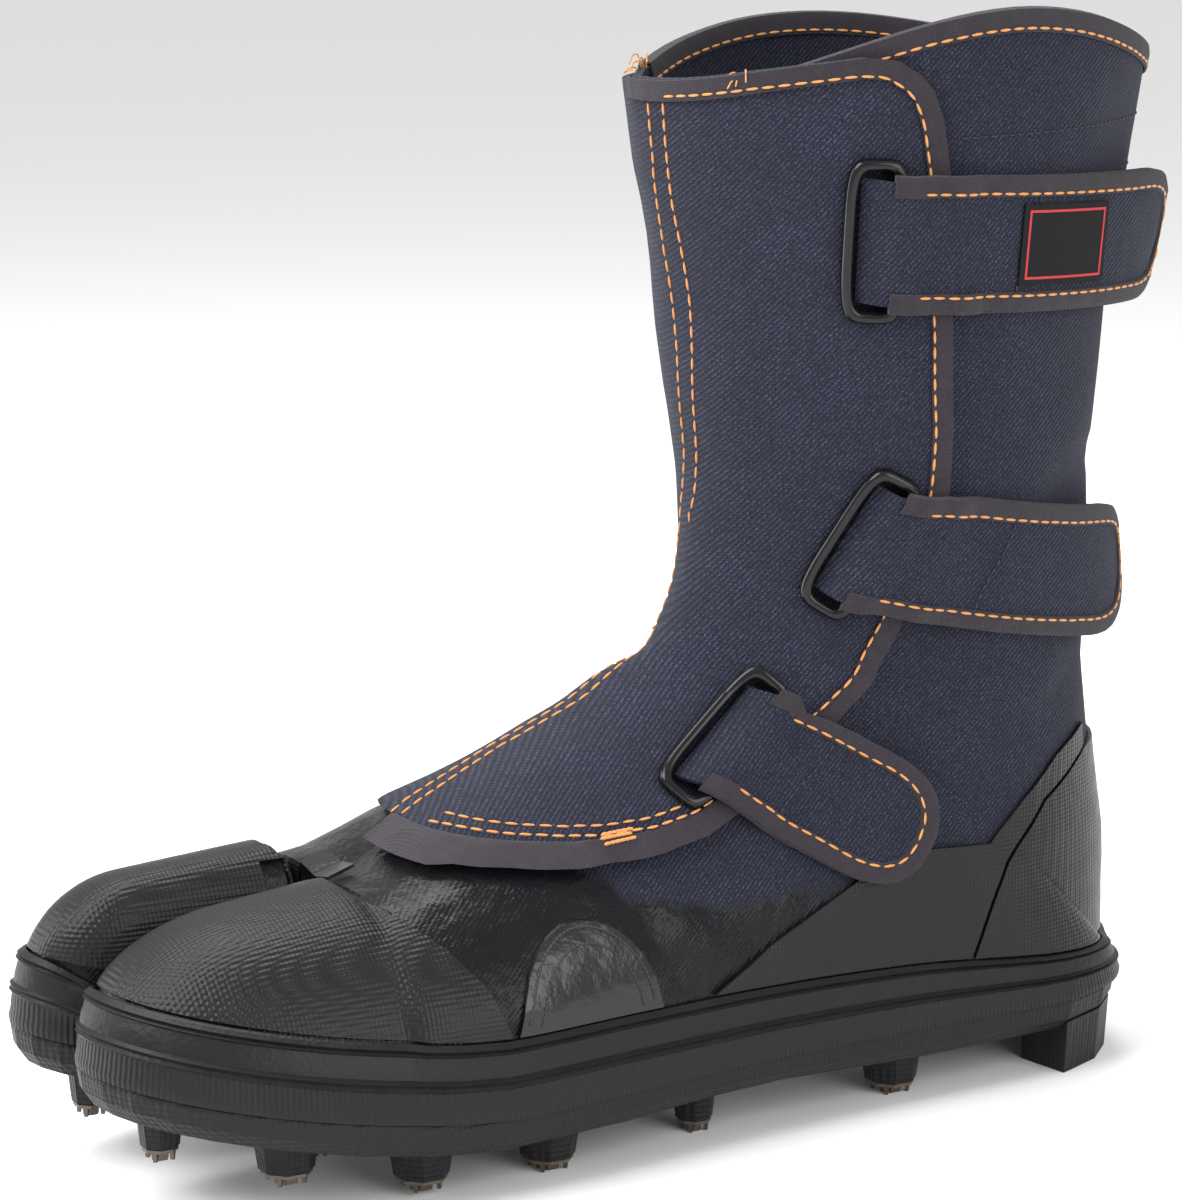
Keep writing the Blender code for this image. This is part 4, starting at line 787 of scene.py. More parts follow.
def closed_strip(rings, closed=True):
    """A closed solid through rings of points. The strip itself is a loop, or it ends in two flat ends."""
    solid = bmesh.new()
    rings = [[solid.verts.new(point) for point in ring] for ring in rings]
    for first, second in zip(rings, rings[1:] + (rings[:1] if closed else [])):
        for corner in range(len(first)):
            after = (corner + 1) % len(first)
            solid.faces.new([first[corner], second[corner], second[after], first[after]])
    if not closed:
        solid.faces.new(rings[0])
        solid.faces.new(rings[-1][::-1])
    bmesh.ops.recalc_face_normals(solid, faces=solid.faces)
    return solid


def surface_at(skin, point, way):
    """The boot's surface next to a point, looked for against a direction."""
    return skin.ray_cast(point + way * PROBE, -way, 2 * PROBE)[0]


def make_frame(name, skin, strap):
    at, heading, side, normal = strap_frame(skin, strap)
    rings = []
    for number in range(FRAME_STEPS):
        angle = 2 * math.pi * (number + 0.5) / FRAME_STEPS
        ring = []
        for out, up in FRAME_PROFILE:
            inner = FRAME_BAR * (0.5 - out)
            wide, far = rounded(angle, FRAME_LENGTH / 2 - inner, FRAME_WIDTH / 2 - inner)
            foot = surface_at(skin, at + heading * wide + side * far, normal)
            ring.append(foot + normal * (FRAME_LIFT + FRAME_HEIGHT * up))
        rings.append(ring)
    return add_object(name, closed_strip(rings))


def cut_slot(flap, skin, strap):
    """Opens the flap inside a frame, where its strap comes through."""
    at, heading, side, normal = strap_frame(skin, strap)
    half_long = FRAME_LENGTH / 2 - FRAME_BAR + SLOT_GAP
    half_wide = FRAME_WIDTH / 2 - FRAME_BAR + SLOT_GAP
    rings = []
    for depth in (-SLOT_DEPTH, SLOT_DEPTH):
        ring = []
        for number in range(SLOT_STEPS):
            wide, far = rounded(2 * math.pi * (number + 0.5) / SLOT_STEPS, half_long, half_wide)
            ring.append(at + heading * wide + side * far + normal * depth)
        rings.append(ring)
    return combine(flap, add_object("slot", closed_strip(rings, False)), "DIFFERENCE")


def near_line(point, line):
    """Distance from a place seen from the side to a line of (y, z) points."""
    best = 1.0
    for (y0, z0), (y1, z1) in zip(line, line[1:]):
        run = (y1 - y0) ** 2 + (z1 - z0) ** 2
        share = min(max(((point.y - y0) * (y1 - y0) + (point.z - z0) * (z1 - z0)) / run, 0.0), 1.0)
        best = min(best, math.hypot(point.y - y0 - (y1 - y0) * share, point.z - z0 - (z1 - z0) * share))
    return best


def inside_flap(point):
    """Distance inside the flap's free edge, seen from the side. It is negative outside."""
    edge = outline(FLAP_EDGE)
    inside = False
    ring = edge + outline(FLAP_FRONT)
    for (y0, z0), (y1, z1) in zip(ring, ring[1:] + ring[:1]):
        crosses = (z0 > point.z) != (z1 > point.z)
        if crosses and point.y < y0 + (y1 - y0) * (point.z - z0) / (z1 - z0):
            inside = not inside
    best = near_line(point, edge)
    return best if inside else -best


def strap_lift(strap, reach, point):
    """Height of the strap's underside over the upper, along the strap from the middle of its frame."""
    over = FRAME_LIFT + FRAME_HEIGHT + 2 * GAP
    if reach < FRAME_BACK:
        climb = (reach - STRAP_START) / (FRAME_BACK * 0.55 - STRAP_START)
        return ON_UPPER + (over - ON_UPPER) * min(climb, 1.0)
    on = ON_UPPER + (STRAP_LIFT - ON_UPPER) * ease((inside_flap(point) + 0.010) / 0.008)
    free = strap["reach"] * STRAP_FREE
    away = strap["stand"] * (max(reach - free, 0.0) / (strap["reach"] - free)) ** 2
    return on + (over - on) * (1 - ease((reach - FRAME_BACK - FRAME_BAR * 0.75) / 0.005)) + away


def strap_path(skin, strap, stops):
    """Place, direction and normal along the strap's middle, at rising distances from the frame's middle."""
    at, across, side, normal = strap_frame(skin, strap)
    heading = Vector((0, 1, -strap["slope"]))
    heading -= normal * heading.dot(normal)
    heading.normalize()
    position, direction, up, reached = at.copy(), heading.copy(), normal.copy(), 0.0
    path = []
    for stop in stops:
        if stop <= 0:
            path.append((at + across * stop, heading, normal))
            continue
        while reached < stop - 1e-6:
            step = min(WALK_STEP, stop - reached)
            ahead, way_up = skin.find_nearest(position + direction * step)[:2]
            up = way_up if way_up.dot(up) > 0 else -way_up
            direction = (ahead - position).normalized()
            position = ahead
            reached += step
        path.append((position.copy(), direction.copy(), up.copy()))
    return path


def strap_across(way, up, side, stop):
    """The direction across a strap: the frame's own inside it, and square to the strap further on."""
    across = up.cross(way).normalized()
    turn = 1 - ease((stop - FRAME_BACK) / STRAP_TURN)
    return (across * (1 - turn) + side * turn).normalized()


def strap_foot(skin, strap, spot, stop, up, out):
    """The surface under a place on a strap, the way up from it, and the strap's height over it."""
    foot, foot_up = skin.find_nearest(spot)[:2]
    foot_up = foot_up if foot_up.dot(up) > 0 else -foot_up
    if stop < FRAME_BACK + FRAME_BAR:
        foot, foot_up = surface_at(skin, spot, out), out
    return foot, foot_up, strap_lift(strap, stop, foot)


def strap_rows(skin, strap, stops, half_width):
    """Rows of points under and over a strap."""
    side, out = strap_frame(skin, strap)[2:]
    rows = []
    for stop, (centre, way, up) in zip(stops, strap_path(skin, strap, stops)):
        across = strap_across(way, up, side, stop)
        under, over = [], []
        for part in STRAP_PARTS:
            spot = centre + across * half_width(stop) * part
            foot, foot_up, lift = strap_foot(skin, strap, spot, stop, up, out)
            under.append(foot + foot_up * lift)
            over.append(foot + foot_up * (lift + STRAP_THICKNESS))
        rows.append((under, over))
    return rows


def band(rows):
    """A closed solid between the two faces of a band."""
    solid = bmesh.new()
    low = [[solid.verts.new(point) for point in under] for under, over in rows]
    high = [[solid.verts.new(point) for point in over] for under, over in rows]
    last = len(low[0]) - 1
    for number in range(len(rows) - 1):
        for part in range(last):
            for face, order in ((high, 1), (low, -1)):
                quad = [face[number][part], face[number + 1][part],
                        face[number + 1][part + 1], face[number][part + 1]]
                solid.faces.new(quad[::order])
        for part, order in ((0, 1), (last, -1)):
            quad = [low[number][part], low[number + 1][part], high[number + 1][part], high[number][part]]
            solid.faces.new(quad[::order])
    for number, order in ((0, -1), (len(rows) - 1, 1)):
        for part in range(last):
            quad = [low[number][part], low[number][part + 1], high[number][part + 1], high[number][part]]
            solid.faces.new(quad[::order])
    bmesh.ops.remove_doubles(solid, verts=solid.verts, dist=MERGE)
    bmesh.ops.recalc_face_normals(solid, faces=solid.faces)
    return solid


def make_strap(name, skin, strap):
    reach = strap["reach"]
    stops = [STRAP_START, STRAP_START + 0.0022, 0.002, FRAME_BACK, FRAME_BACK + 0.003, FRAME_BACK + 0.0065]
    stops += list(np.linspace(FRAME_BACK + 0.012, reach - STRAP_TIP, max(int(reach / 0.011), 4)))
    stops += [reach - STRAP_TIP * part for part in (0.7, 0.45, 0.22, 0.08, 0.0)]

    def half_width(stop):
        pinch = STRAP_PINCH * (1 - ease((stop - FRAME_BACK) / 0.006))
        return (STRAP_WIDTH / 2 - pinch) * round_off((stop - reach + STRAP_TIP) / STRAP_TIP, STRAP_CORNER)

    return add_object(name, band(strap_rows(skin, strap, stops, half_width)))


# Surfaces that the pieces share

CACHE = {}


def soften(sheet, depth):
    """Presses the creases into a sheet and gives it slow waves. The waves fade out towards the sole."""
    lines = [(side, outline(line), width, trough) for side, line, width, trough in CREASES]
    moves = {}
    for vertex in sheet.verts:
        at = vertex.co
        side = "lateral" if vertex.normal.x > 0 else "medial"
        turn = min(abs(vertex.normal.x) * 2.0, 1.0)
        move = 0.0
        for crease_side, line, width, trough in lines:
            if crease_side != side:
                continue
            away = near_line(at, line) / width
            if away < 4:
                move += turn * trough * (0.45 * math.exp(-(away - 1.9) ** 2) - math.exp(-away ** 2))
        fade = ease((at.z - foxing_top(along(at.y)) - 0.006) / 0.02) if at.y > place(0.70) else 0.0
        move += DRAPE * fade * noise.noise(at / DRAPE_SIZE)
        moves[vertex] = min(move * depth, RISE_LIMIT)
    for vertex, move in moves.items():
        vertex.co += vertex.normal * move
    sheet.normal_update()
    return sheet


def surfaces():
    """The creased sheets of the upper and the smooth one that carries the straps, made once."""
    if not CACHE:
        count = FINE * COLUMNS
        rows = [(section("lateral", station, count), section("medial", station, count))
                for station in upper_stations(FINE)]
        depth = bpy.context.scene.tabi.crease_depth
        smooth = sheet_mesh(rows, FINE * TOE_ROWS)
        CACHE["smooth"] = BVHTree.FromBMesh(smooth)
        smooth.free()
        CACHE["sheet"] = soften(sheet_mesh(rows, FINE * TOE_ROWS), depth)
        CACHE["tall"] = soften(sheet_mesh(raised(rows, COLLAR_REACH), FINE * TOE_ROWS), depth)
        CACHE["skin"] = BVHTree.FromBMesh(CACHE["tall"])
    return CACHE


# Materials


class Finish:
    """One procedural material, built up from the place on the object."""

    def __init__(self, name, color, roughness, **constants):
        self.material = bpy.data.materials.new(name)
        self.material.use_nodes = True
        self.tree = self.material.node_tree
        self.shader = self.tree.nodes["Principled BSDF"]
        self.shader.inputs["Base Color"].default_value = (*color, 1.0)
        self.shader.inputs["Roughness"].default_value = roughness
        for socket, value in constants.items():
            self.shader.inputs[socket.replace("_", " ")].default_value = value
        self.material.diffuse_color = (*color, 1.0)
        self.place = self.tree.nodes.new("ShaderNodeTexCoord").outputs["Object"]

    def feed(self, value, socket):
        if isinstance(value, bpy.types.NodeSocket):
            self.tree.links.new(value, socket)
        else:
            socket.default_value = value

    def calc(self, operation, first, second=0.0, clamp=False):
        node = self.tree.nodes.new("ShaderNodeMath")
        node.operation = operation
        node.use_clamp = clamp
        self.feed(first, node.inputs[0])
        self.feed(second, node.inputs[1])
        return node.outputs[0]

    def add(self, first, second):
        return self.calc("ADD", first, second)

    def minus(self, first, second):
        return self.calc("SUBTRACT", first, second)

    def times(self, first, second, clamp=False):
        return self.calc("MULTIPLY", first, second, clamp)

    def axis(self, name):
        node = self.tree.nodes.new("ShaderNodeSeparateXYZ")
        self.feed(self.place, node.inputs[0])
        return node.outputs[name]

    def uv(self):
        node = self.tree.nodes.new("ShaderNodeSeparateXYZ")
        self.feed(self.tree.nodes.new("ShaderNodeUVMap").outputs[0], node.inputs[0])
        return node.outputs["X"], node.outputs["Y"]

    def wave(self, way, pitch):
        """A sine from 0 to 1 across a direction, with one wave for each pitch."""
        node = self.tree.nodes.new("ShaderNodeVectorMath")
        node.operation = "DOT_PRODUCT"
        self.feed(self.place, node.inputs[0])
        node.inputs[1].default_value = tuple(part * 2 * math.pi / pitch for part in way)
        sine = self.calc("SINE", node.outputs["Value"])
        return self.add(self.times(sine, 0.5), 0.5)

    def noise(self, size, detail=3.0, rough=0.55):
        node = self.tree.nodes.new("ShaderNodeTexNoise")
        self.feed(self.place, node.inputs["Vector"])
        node.inputs["Scale"].default_value = 1.0 / size
        node.inputs["Detail"].default_value = detail
        node.inputs["Roughness"].default_value = rough
        return node.outputs["Fac"]

    def diamonds(self, pitch):
        """A fine diamond grid on every side: the sum of three waves."""
        total = self.add(self.wave((1, 0, 0), pitch), self.wave((0, 1, 0), pitch))
        return self.add(total, self.wave((0, 0, 1), pitch))

    def between(self, factor, first, second):
        node = self.tree.nodes.new("ShaderNodeMix")
        node.data_type = "RGBA"
        self.feed(factor, node.inputs[0])
        self.feed(first if isinstance(first, bpy.types.NodeSocket) else (*first, 1.0), node.inputs[6])
        self.feed(second if isinstance(second, bpy.types.NodeSocket) else (*second, 1.0), node.inputs[7])
        return node.outputs[2]

    def blend(self, factor, first, second):
        """A number that goes from the first to the second as the factor goes from 0 to 1."""
        rest = self.times(self.minus(1.0, factor), first)
        return self.add(rest, self.times(factor, second))

    def color(self, value):
        self.feed(value, self.shader.inputs["Base Color"])

    def roughness(self, value):
        self.feed(value, self.shader.inputs["Roughness"])

    def bump(self, height, distance, strength=1.0):
        node = self.tree.nodes.new("ShaderNodeBump")
        node.inputs["Distance"].default_value = distance
        node.inputs["Strength"].default_value = strength
        self.feed(height, node.inputs["Height"])
        self.feed(node.outputs[0], self.shader.inputs["Normal"])


CLOTH_RELIEF = 0.00016    # height of the twill's ribs
CLOTH_ROUGHNESS = 0.86
# The rubber coating ends on the foot at these heights, ahead of the first place and behind the second
COATING_FRONT = (0.72, 0.80)
COATING_REAR = (0.50, 0.455)
COATING_SMEAR = 0.012     # how far its edge wanders
COATING_FADE = 0.0045     # over which length it fades


def toned(color, factor):
    return tuple(part * factor for part in color)


def twill(name, tone, coated=False):
    """Indigo twill with light flecks. The coated one is black and shiny below the foot's coating line."""
    looks = bpy.context.scene.tabi
    base = toned(looks.denim, tone)
    finish = Finish(name, base, CLOTH_ROUGHNESS,
                    Sheen_Weight=0.05, Sheen_Roughness=0.45, Specular_IOR_Level=0.16)
    ribs = finish.wave((0.45, 1.0, -1.0), looks.twill_pitch)
    threads = finish.wave((0.6, -0.9, -1.3), looks.twill_pitch * 0.62)
    flecks = finish.noise(0.00045, 2.0, 0.7)
    slow = finish.noise(0.012, 3.0)
    mask = finish.minus(finish.times(flecks, 5.0), 2.2)
    mask = finish.times(mask, ribs, clamp=True)
    light = tuple(min(part * 5.0 + 0.012, 1.0) for part in base)
    cloth = finish.between(finish.times(mask, finish.add(slow, 0.25)), base, light)
    weave = finish.add(ribs, finish.times(threads, 0.45))
    weave = finish.add(weave, finish.times(flecks, 0.8))
    if not coated:
        finish.color(cloth)
        finish.bump(weave, CLOTH_RELIEF)
        return finish.material
    line = finish.tree.nodes.new("ShaderNodeMapRange")
    line.interpolation_type = "SMOOTHSTEP"
    finish.feed(finish.axis("Y"), line.inputs["Value"])
    for end, (share, up) in (("Min", COATING_FRONT), ("Max", COATING_REAR)):
        line.inputs["From " + end].default_value = place(share) + SHIFT.y
        line.inputs["To " + end].default_value = level(up)
    above = finish.minus(line.outputs[0], finish.axis("Z"))
    ragged = finish.times(finish.minus(finish.noise(0.007, 4.0), 0.5), COATING_SMEAR)
    mask = finish.times(finish.add(above, ragged), 1 / COATING_FADE, clamp=True)
    finish.color(finish.between(mask, cloth, looks.coating))
    smear = finish.noise(0.009, 4.0, 0.6)
    finish.roughness(finish.blend(mask, CLOTH_ROUGHNESS, finish.add(finish.times(smear, 0.42), 0.06)))
    wrinkles = finish.times(finish.noise(0.0095, 4.0, 0.55), 8.0)
    fine = finish.times(weave, 0.22)
    finish.bump(finish.blend(mask, weave, finish.add(wrinkles, fine)), CLOTH_RELIEF)
    return finish.material


def rubber(name, pitch, relief, shine=0.46):
    looks = bpy.context.scene.tabi
    finish = Finish(name, looks.rubber, shine, Specular_IOR_Level=0.20)
    slow = finish.noise(0.009, 4.0)
    finish.color(finish.between(slow, looks.rubber, toned(looks.rubber, 1.5)))
    finish.roughness(finish.add(finish.times(slow, 0.22), shine - 0.11))
    height = finish.add(finish.diamonds(pitch), finish.times(finish.noise(0.0006, 2.0), 0.7))
    finish.bump(finish.add(height, finish.times(slow, 2.0)), relief)
    return finish.material


RIB_RELIEF = 0.00016
RIBBED = 0.41             # share of the foxing's height that has the ribs


def tape_rubber(name):
    """The foxing's rubber: fine upright ribs over the lower part of the tape, smooth above."""
    looks = bpy.context.scene.tabi
    finish = Finish(name, looks.rubber, 0.42, Specular_IOR_Level=0.20)
    run, height = finish.uv()
    ribs = finish.calc("SINE", finish.times(run, 2 * math.pi / (looks.rib_pitch * RIB_UV)))
    low = finish.calc("LESS_THAN", height, RIBBED)
    bands = finish.times(ribs, low)
    slow = finish.noise(0.010, 4.0)
    rough = finish.add(finish.times(slow, 0.30), 0.28)
    finish.roughness(rough)
    finish.color(finish.between(slow, toned(looks.rubber, 0.8), toned(looks.rubber, 1.5)))
    grain = finish.times(finish.noise(0.0012, 3.0), 1.2)
    total = finish.add(finish.times(bands, 0.55), finish.add(grain, slow))
    finish.bump(total, RIB_RELIEF)
    return finish.material


def plain(name, color, roughness, grain, relief, **constants):
    """A surface of one colour with a fine grain."""
    finish = Finish(name, color, roughness, **constants)
    finish.color(finish.between(finish.noise(grain * 6, 3.0), toned(color, 0.75), color))
    finish.bump(finish.noise(grain, 3.0), relief)
    return finish.material


TAPE_PITCH = 0.0005


def tape_cloth(name):
    looks = bpy.context.scene.tabi
    finish = Finish(name, looks.tape, 0.8, Sheen_Weight=0.08, Specular_IOR_Level=0.2)
    weave = finish.add(finish.wave((0.3, 1.0, 0.9), TAPE_PITCH), finish.wave((0.2, -0.9, 1.0), TAPE_PITCH))
    slow = finish.noise(0.004, 3.0)
    finish.color(finish.between(slow, toned(looks.tape, 0.7), toned(looks.tape, 1.25)))
    finish.bump(finish.add(weave, finish.times(slow, 3.0)), 0.00010)
    return finish.material


def finishes():
    """All materials of the boot by name, made once."""
    if "materials" not in CACHE:
        looks = bpy.context.scene.tabi
        CACHE["materials"] = dict(
            upper=twill("upper_twill", 1.0, coated=True),
            flap=twill("flap_twill", 1.1),
            strap=twill("strap_twill", 1.05),
            tape=tape_cloth("bias_tape"),
            panel=rubber("panel_rubber", 0.0011, 0.00006, 0.36),
            sole=rubber("sole_rubber", 0.0014, 0.00010, 0.5),
            foxing=tape_rubber("foxing_rubber"),
            patch=plain("patch_rubber", tuple(looks.coating), 0.24, 0.005, 0.00035, Specular_IOR_Level=0.45),
            gloss=plain("frame_enamel", (0.006, 0.006, 0.007), 0.13, 0.004, 0.00002,
                        Specular_IOR_Level=0.28),
            steel=plain("spike_steel", (0.13, 0.105, 0.085), 0.42, 0.0008, 0.00008, Metallic=0.85),
            felt=plain("insole_felt", (0.055, 0.055, 0.06), 0.95, 0.0007, 0.0002),
            thread=plain("orange_thread", tuple(looks.thread), 0.55, 0.0004, 0.0001, Sheen_Weight=0.3),
            dark_thread=plain("black_thread", (0.012, 0.012, 0.016), 0.6, 0.0004, 0.0001),
            label=plain("label_cloth", (0.004, 0.004, 0.005), 0.7, 0.0005, 0.00008, Specular_IOR_Level=0.2),
            red=plain("red_thread", (0.42, 0.018, 0.022), 0.6, 0.0004, 0.00008),
        )
    return CACHE["materials"]


def dress(thing, finish, slot, *nodes):
    """Gives a piece its material and place, sets it on the boot, and lets it stand for the solid's nodes."""
    thing.data.materials.clear()
    thing.data.materials.append(finishes()[finish])
    thing.data.transform(Matrix.Translation(SHIFT))
    thing.data.shade_smooth()
    thing.data.set_sharp_from_angle(angle=math.radians(SHARP_ANGLE))
    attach(thing, "root")
    if nodes:
        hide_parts(*nodes)
    return thing


def repaint(finish, *names):
    for name in names:
        thing = frame["nodes"][name]
        for slot in thing.material_slots:
            slot.material = finishes()[finish]


# Stitches


def stitch_group():
    """Geometry Nodes group that sets stitches along lines of points."""
    found = bpy.data.node_groups.get("stitch_row")
    if found:
        return found
    group = bpy.data.node_groups.new("stitch_row", "GeometryNodeTree")
    face = group.interface
    face.new_socket(name="Geometry", in_out="OUTPUT", socket_type="NodeSocketGeometry")
    face.new_socket(name="Lines", in_out="INPUT", socket_type="NodeSocketGeometry")
    for name in ("Spacing", "Stitch length", "Thickness"):
        face.new_socket(name=name, in_out="INPUT", socket_type="NodeSocketFloat")
    face.new_socket(name="Thread", in_out="INPUT", socket_type="NodeSocketMaterial")
    nodes, links = group.nodes, group.links

    def add(*kinds):
        return [nodes.new(kind) for kind in kinds]

    entry, leave = add("NodeGroupInput", "NodeGroupOutput")
    curve, steps = add("GeometryNodeMeshToCurve", "GeometryNodeResampleCurve")
    put, real = add("GeometryNodeInstanceOnPoints", "GeometryNodeRealizeInstances")
    ball, shape = add("GeometryNodeMeshIcoSphere", "GeometryNodeTransform")
    scale, paint = add("ShaderNodeCombineXYZ", "GeometryNodeSetMaterial")
    tangent, turn = add("GeometryNodeInputTangent", "FunctionNodeAlignRotationToVector")
    steps.mode = "LENGTH"
    turn.axis = "X"
    ball.inputs["Radius"].default_value = 0.5
    ball.inputs["Subdivisions"].default_value = 2
    for source, target in (
        (entry.outputs["Lines"], curve.inputs[0]),
        (curve.outputs[0], steps.inputs["Curve"]),
        (entry.outputs["Spacing"], steps.inputs["Length"]),
        (steps.outputs[0], put.inputs["Points"]),
        (entry.outputs["Stitch length"], scale.inputs[0]),
        (entry.outputs["Thickness"], scale.inputs[1]),
        (entry.outputs["Thickness"], scale.inputs[2]),
        (ball.outputs["Mesh"], shape.inputs["Geometry"]),
        (scale.outputs[0], shape.inputs["Scale"]),
        (shape.outputs[0], put.inputs["Instance"]),
        (tangent.outputs[0], turn.inputs["Vector"]),
        (turn.outputs[0], put.inputs["Rotation"]),
        (put.outputs[0], real.inputs[0]),
        (real.outputs[0], paint.inputs["Geometry"]),
        (entry.outputs["Thread"], paint.inputs["Material"]),
        (paint.outputs[0], leave.inputs[0]),
    ):
        links.new(source, target)
    return group


def stitches(name, rows, thread, slot, spacing=0.0039, length=0.0032, thickness=0.00068):
    """Rows of stitches through the given points, as one plain mesh."""
    points, edges = [], []
    for row in rows:
        start = len(points)
        points += [tuple(point) for point in row]
        edges += [(start + number, start + number + 1) for number in range(len(row) - 1)]
    data = bpy.data.meshes.new(name)
    data.from_pydata(points, edges, [])
    thing = bpy.data.objects.new(name, data)
    bpy.context.scene.collection.objects.link(thing)
    modifier = thing.modifiers.new("stitches", "NODES")
    modifier.node_group = stitch_group()
    values = {"Spacing": spacing, "Stitch length": length, "Thickness": thickness,
              "Thread": finishes()[thread]}
    for item in modifier.node_group.interface.items_tree:
        if item.in_out == "INPUT" and item.name in values:
            modifier[item.identifier] = values[item.name]
    bpy.context.view_layer.update()
    made = bpy.data.meshes.new_from_object(thing.evaluated_get(bpy.context.evaluated_depsgraph_get()))
    thing.modifiers.clear()
    thing.data = made
    return dress(thing, thread, slot)


def dense(points, step=0.002):
    """A line of points with short, equal steps."""
    points = np.array(points, float)
    length = np.cumsum(np.linalg.norm(np.diff(points, axis=0), axis=1))[-1]
    return spaced(points, max(int(length / step), 2) - 1)


def from_side(line, height, side=1.0):
    """A line of (y, z) points laid on the boot from its outer or inner side, at a height over the upper."""
    found = []
    for y, z in dense(line):
        hit, way = surfaces()["skin"].ray_cast(Vector((side * 0.2, y, z)), Vector((-side, 0, 0)))[:2]
        if hit is not None:
            found.append(hit + (way if way.x * side > 0 else -way) * height)
    return found


def laid(points, height):
    """Points moved to the nearest place on the boot, at a height over the upper."""
    found = []
    for point in dense(points):
        hit, way = surfaces()["skin"].find_nearest(Vector(point))[:2]
        found.append(hit + (way if way.dot(Vector(point) - hit) > 0 or way.x > -0.2 else -way) * height)
    return found


# Straps in detail


def strap_surface(skin, strap):
    """A function from a place along and across the strap, and a height over its underside, to a point."""
    side, out = strap_frame(skin, strap)[2:]
    step = 0.001
    stops = list(np.arange(STRAP_START, strap["reach"] + 2 * step, step))
    path = strap_path(skin, strap, stops)

    def spot(stop, across, height):
        share = max((stop - STRAP_START) / step, 0.0)
        low = min(int(share), len(path) - 2)
        part = min(share - low, 1.0)
        centre, way, up = (path[low][item].lerp(path[low + 1][item], part) for item in range(3))
        at = centre + strap_across(way, up, side, stop) * across
        foot, foot_up, lift = strap_foot(skin, strap, at, stop, up, out)
        return foot + foot_up * (lift + height)

    return spot


def strap_edge(strap, start):
    """The strap's edge in its own plane, as (along, across), from the frame round the tip and back."""
    reach, half = strap["reach"], STRAP_WIDTH / 2
    side = [(stop, half) for stop in np.arange(start, reach - STRAP_TIP, 0.0025)]
    power = 2 / STRAP_CORNER
    tip = [(reach - STRAP_TIP + STRAP_TIP * math.sin(angle) ** power, half * math.cos(angle) ** power)
           for angle in np.linspace(0.0, math.pi / 2, 16)]
    tip[-1] = (reach, 0.0)
    upper = side + tip
    return upper + [(stop, -across) for stop, across in upper[-2::-1]]


TAPE_START = FRAME_BACK * 0.55     # the tape begins where the strap comes out of its frame
# Section of the tape over a strap's edge: distance inside the edge, and height over the strap's top
TAPE_SECTION = [(0.0046, 0.0000), (0.0044, 0.0006), (0.0008, 0.0007), (-0.0004, 0.0002),
                (-0.0005, -0.0021), (0.0004, -0.0024), (0.0012, -0.0022), (0.0010, -0.0004)]
BAND_STEP = 0.002


def make_strap_tape(name, strap):
    """Bias tape folded over a strap's edge."""
    spot = strap_surface(surfaces()["smooth"], strap)
    line = strap_edge(strap, TAPE_START)
    lanes = [inset(line, -distance) for distance, _ in TAPE_SECTION]
    rings = [[spot(*lane[number], STRAP_THICKNESS + height) for lane, (_, height) in zip(lanes, TAPE_SECTION)]
             for number in range(len(line))]
    return dress(add_object(name, closed_strip(rings, False)), "tape", "denim")


def strap_band(name, strap, low_stop, high_stop, low_across, high_across, height, thickness):
    """A small flat piece on the strap."""
    spot = strap_surface(surfaces()["smooth"], strap)

    def stops(low, high):
        return np.linspace(low, high, max(int(abs(high - low) / BAND_STEP), 1) + 1)

    lanes = stops(low_across, high_across)
    rows = [([spot(stop, lane, height) for lane in lanes],
             [spot(stop, lane, height + thickness) for lane in lanes]) for stop in stops(low_stop, high_stop)]
    return add_object(name, band(rows))


def join(name, things):
    """Several pieces as one."""
    mesh = bmesh.new()
    for thing in things:
        mesh.from_mesh(thing.data)
        bpy.data.objects.remove(thing, do_unlink=True)
    return add_object(name, mesh)


# Pieces


def upper_piece():
    """The creased twill upper."""
    dress(add_object("upper_cloth", shell(surfaces()["sheet"], -WALL, 0.0)), "upper", "denim", "upper")


def flap_pieces():
    """The front flap with its three slots, and its tape."""
    flap, binding = make_flap(surfaces()["tall"])
    for strap in STRAPS.values():
        cut_slot(flap, surfaces()["smooth"], strap)
    dress(tidy(flap), "flap", "denim", "front_flap")
    dress(binding, "tape", "denim", "flap_binding")


UNDER_FLAP = 0.24         # share of the tape's thickness left where the flap lies over it
FLAP_CORNER = FLAP_EDGE[-9][0]    # the flap covers the collar's tape ahead of this place
COLLAR_TAPE = 0.0008      # how far the tape stands off the wall at its edge
COLLAR_FOLD = 0.0010      # the same near the fold
COLLAR_LIP = 0.0006       # the same at the fold
SEAM_DEPTH = 0.0040       # the collar's stitches run this far below its top
# Loose thread ends: how far each leans forward, rises and spreads
TUFT = [(0.006, 0.006, 0.001), (0.008, 0.003, -0.0015), (0.004, 0.008, 0.0025), (0.009, 0.005, 0.0005),
        (0.005, 0.002, -0.003), (0.007, 0.007, -0.0008)]


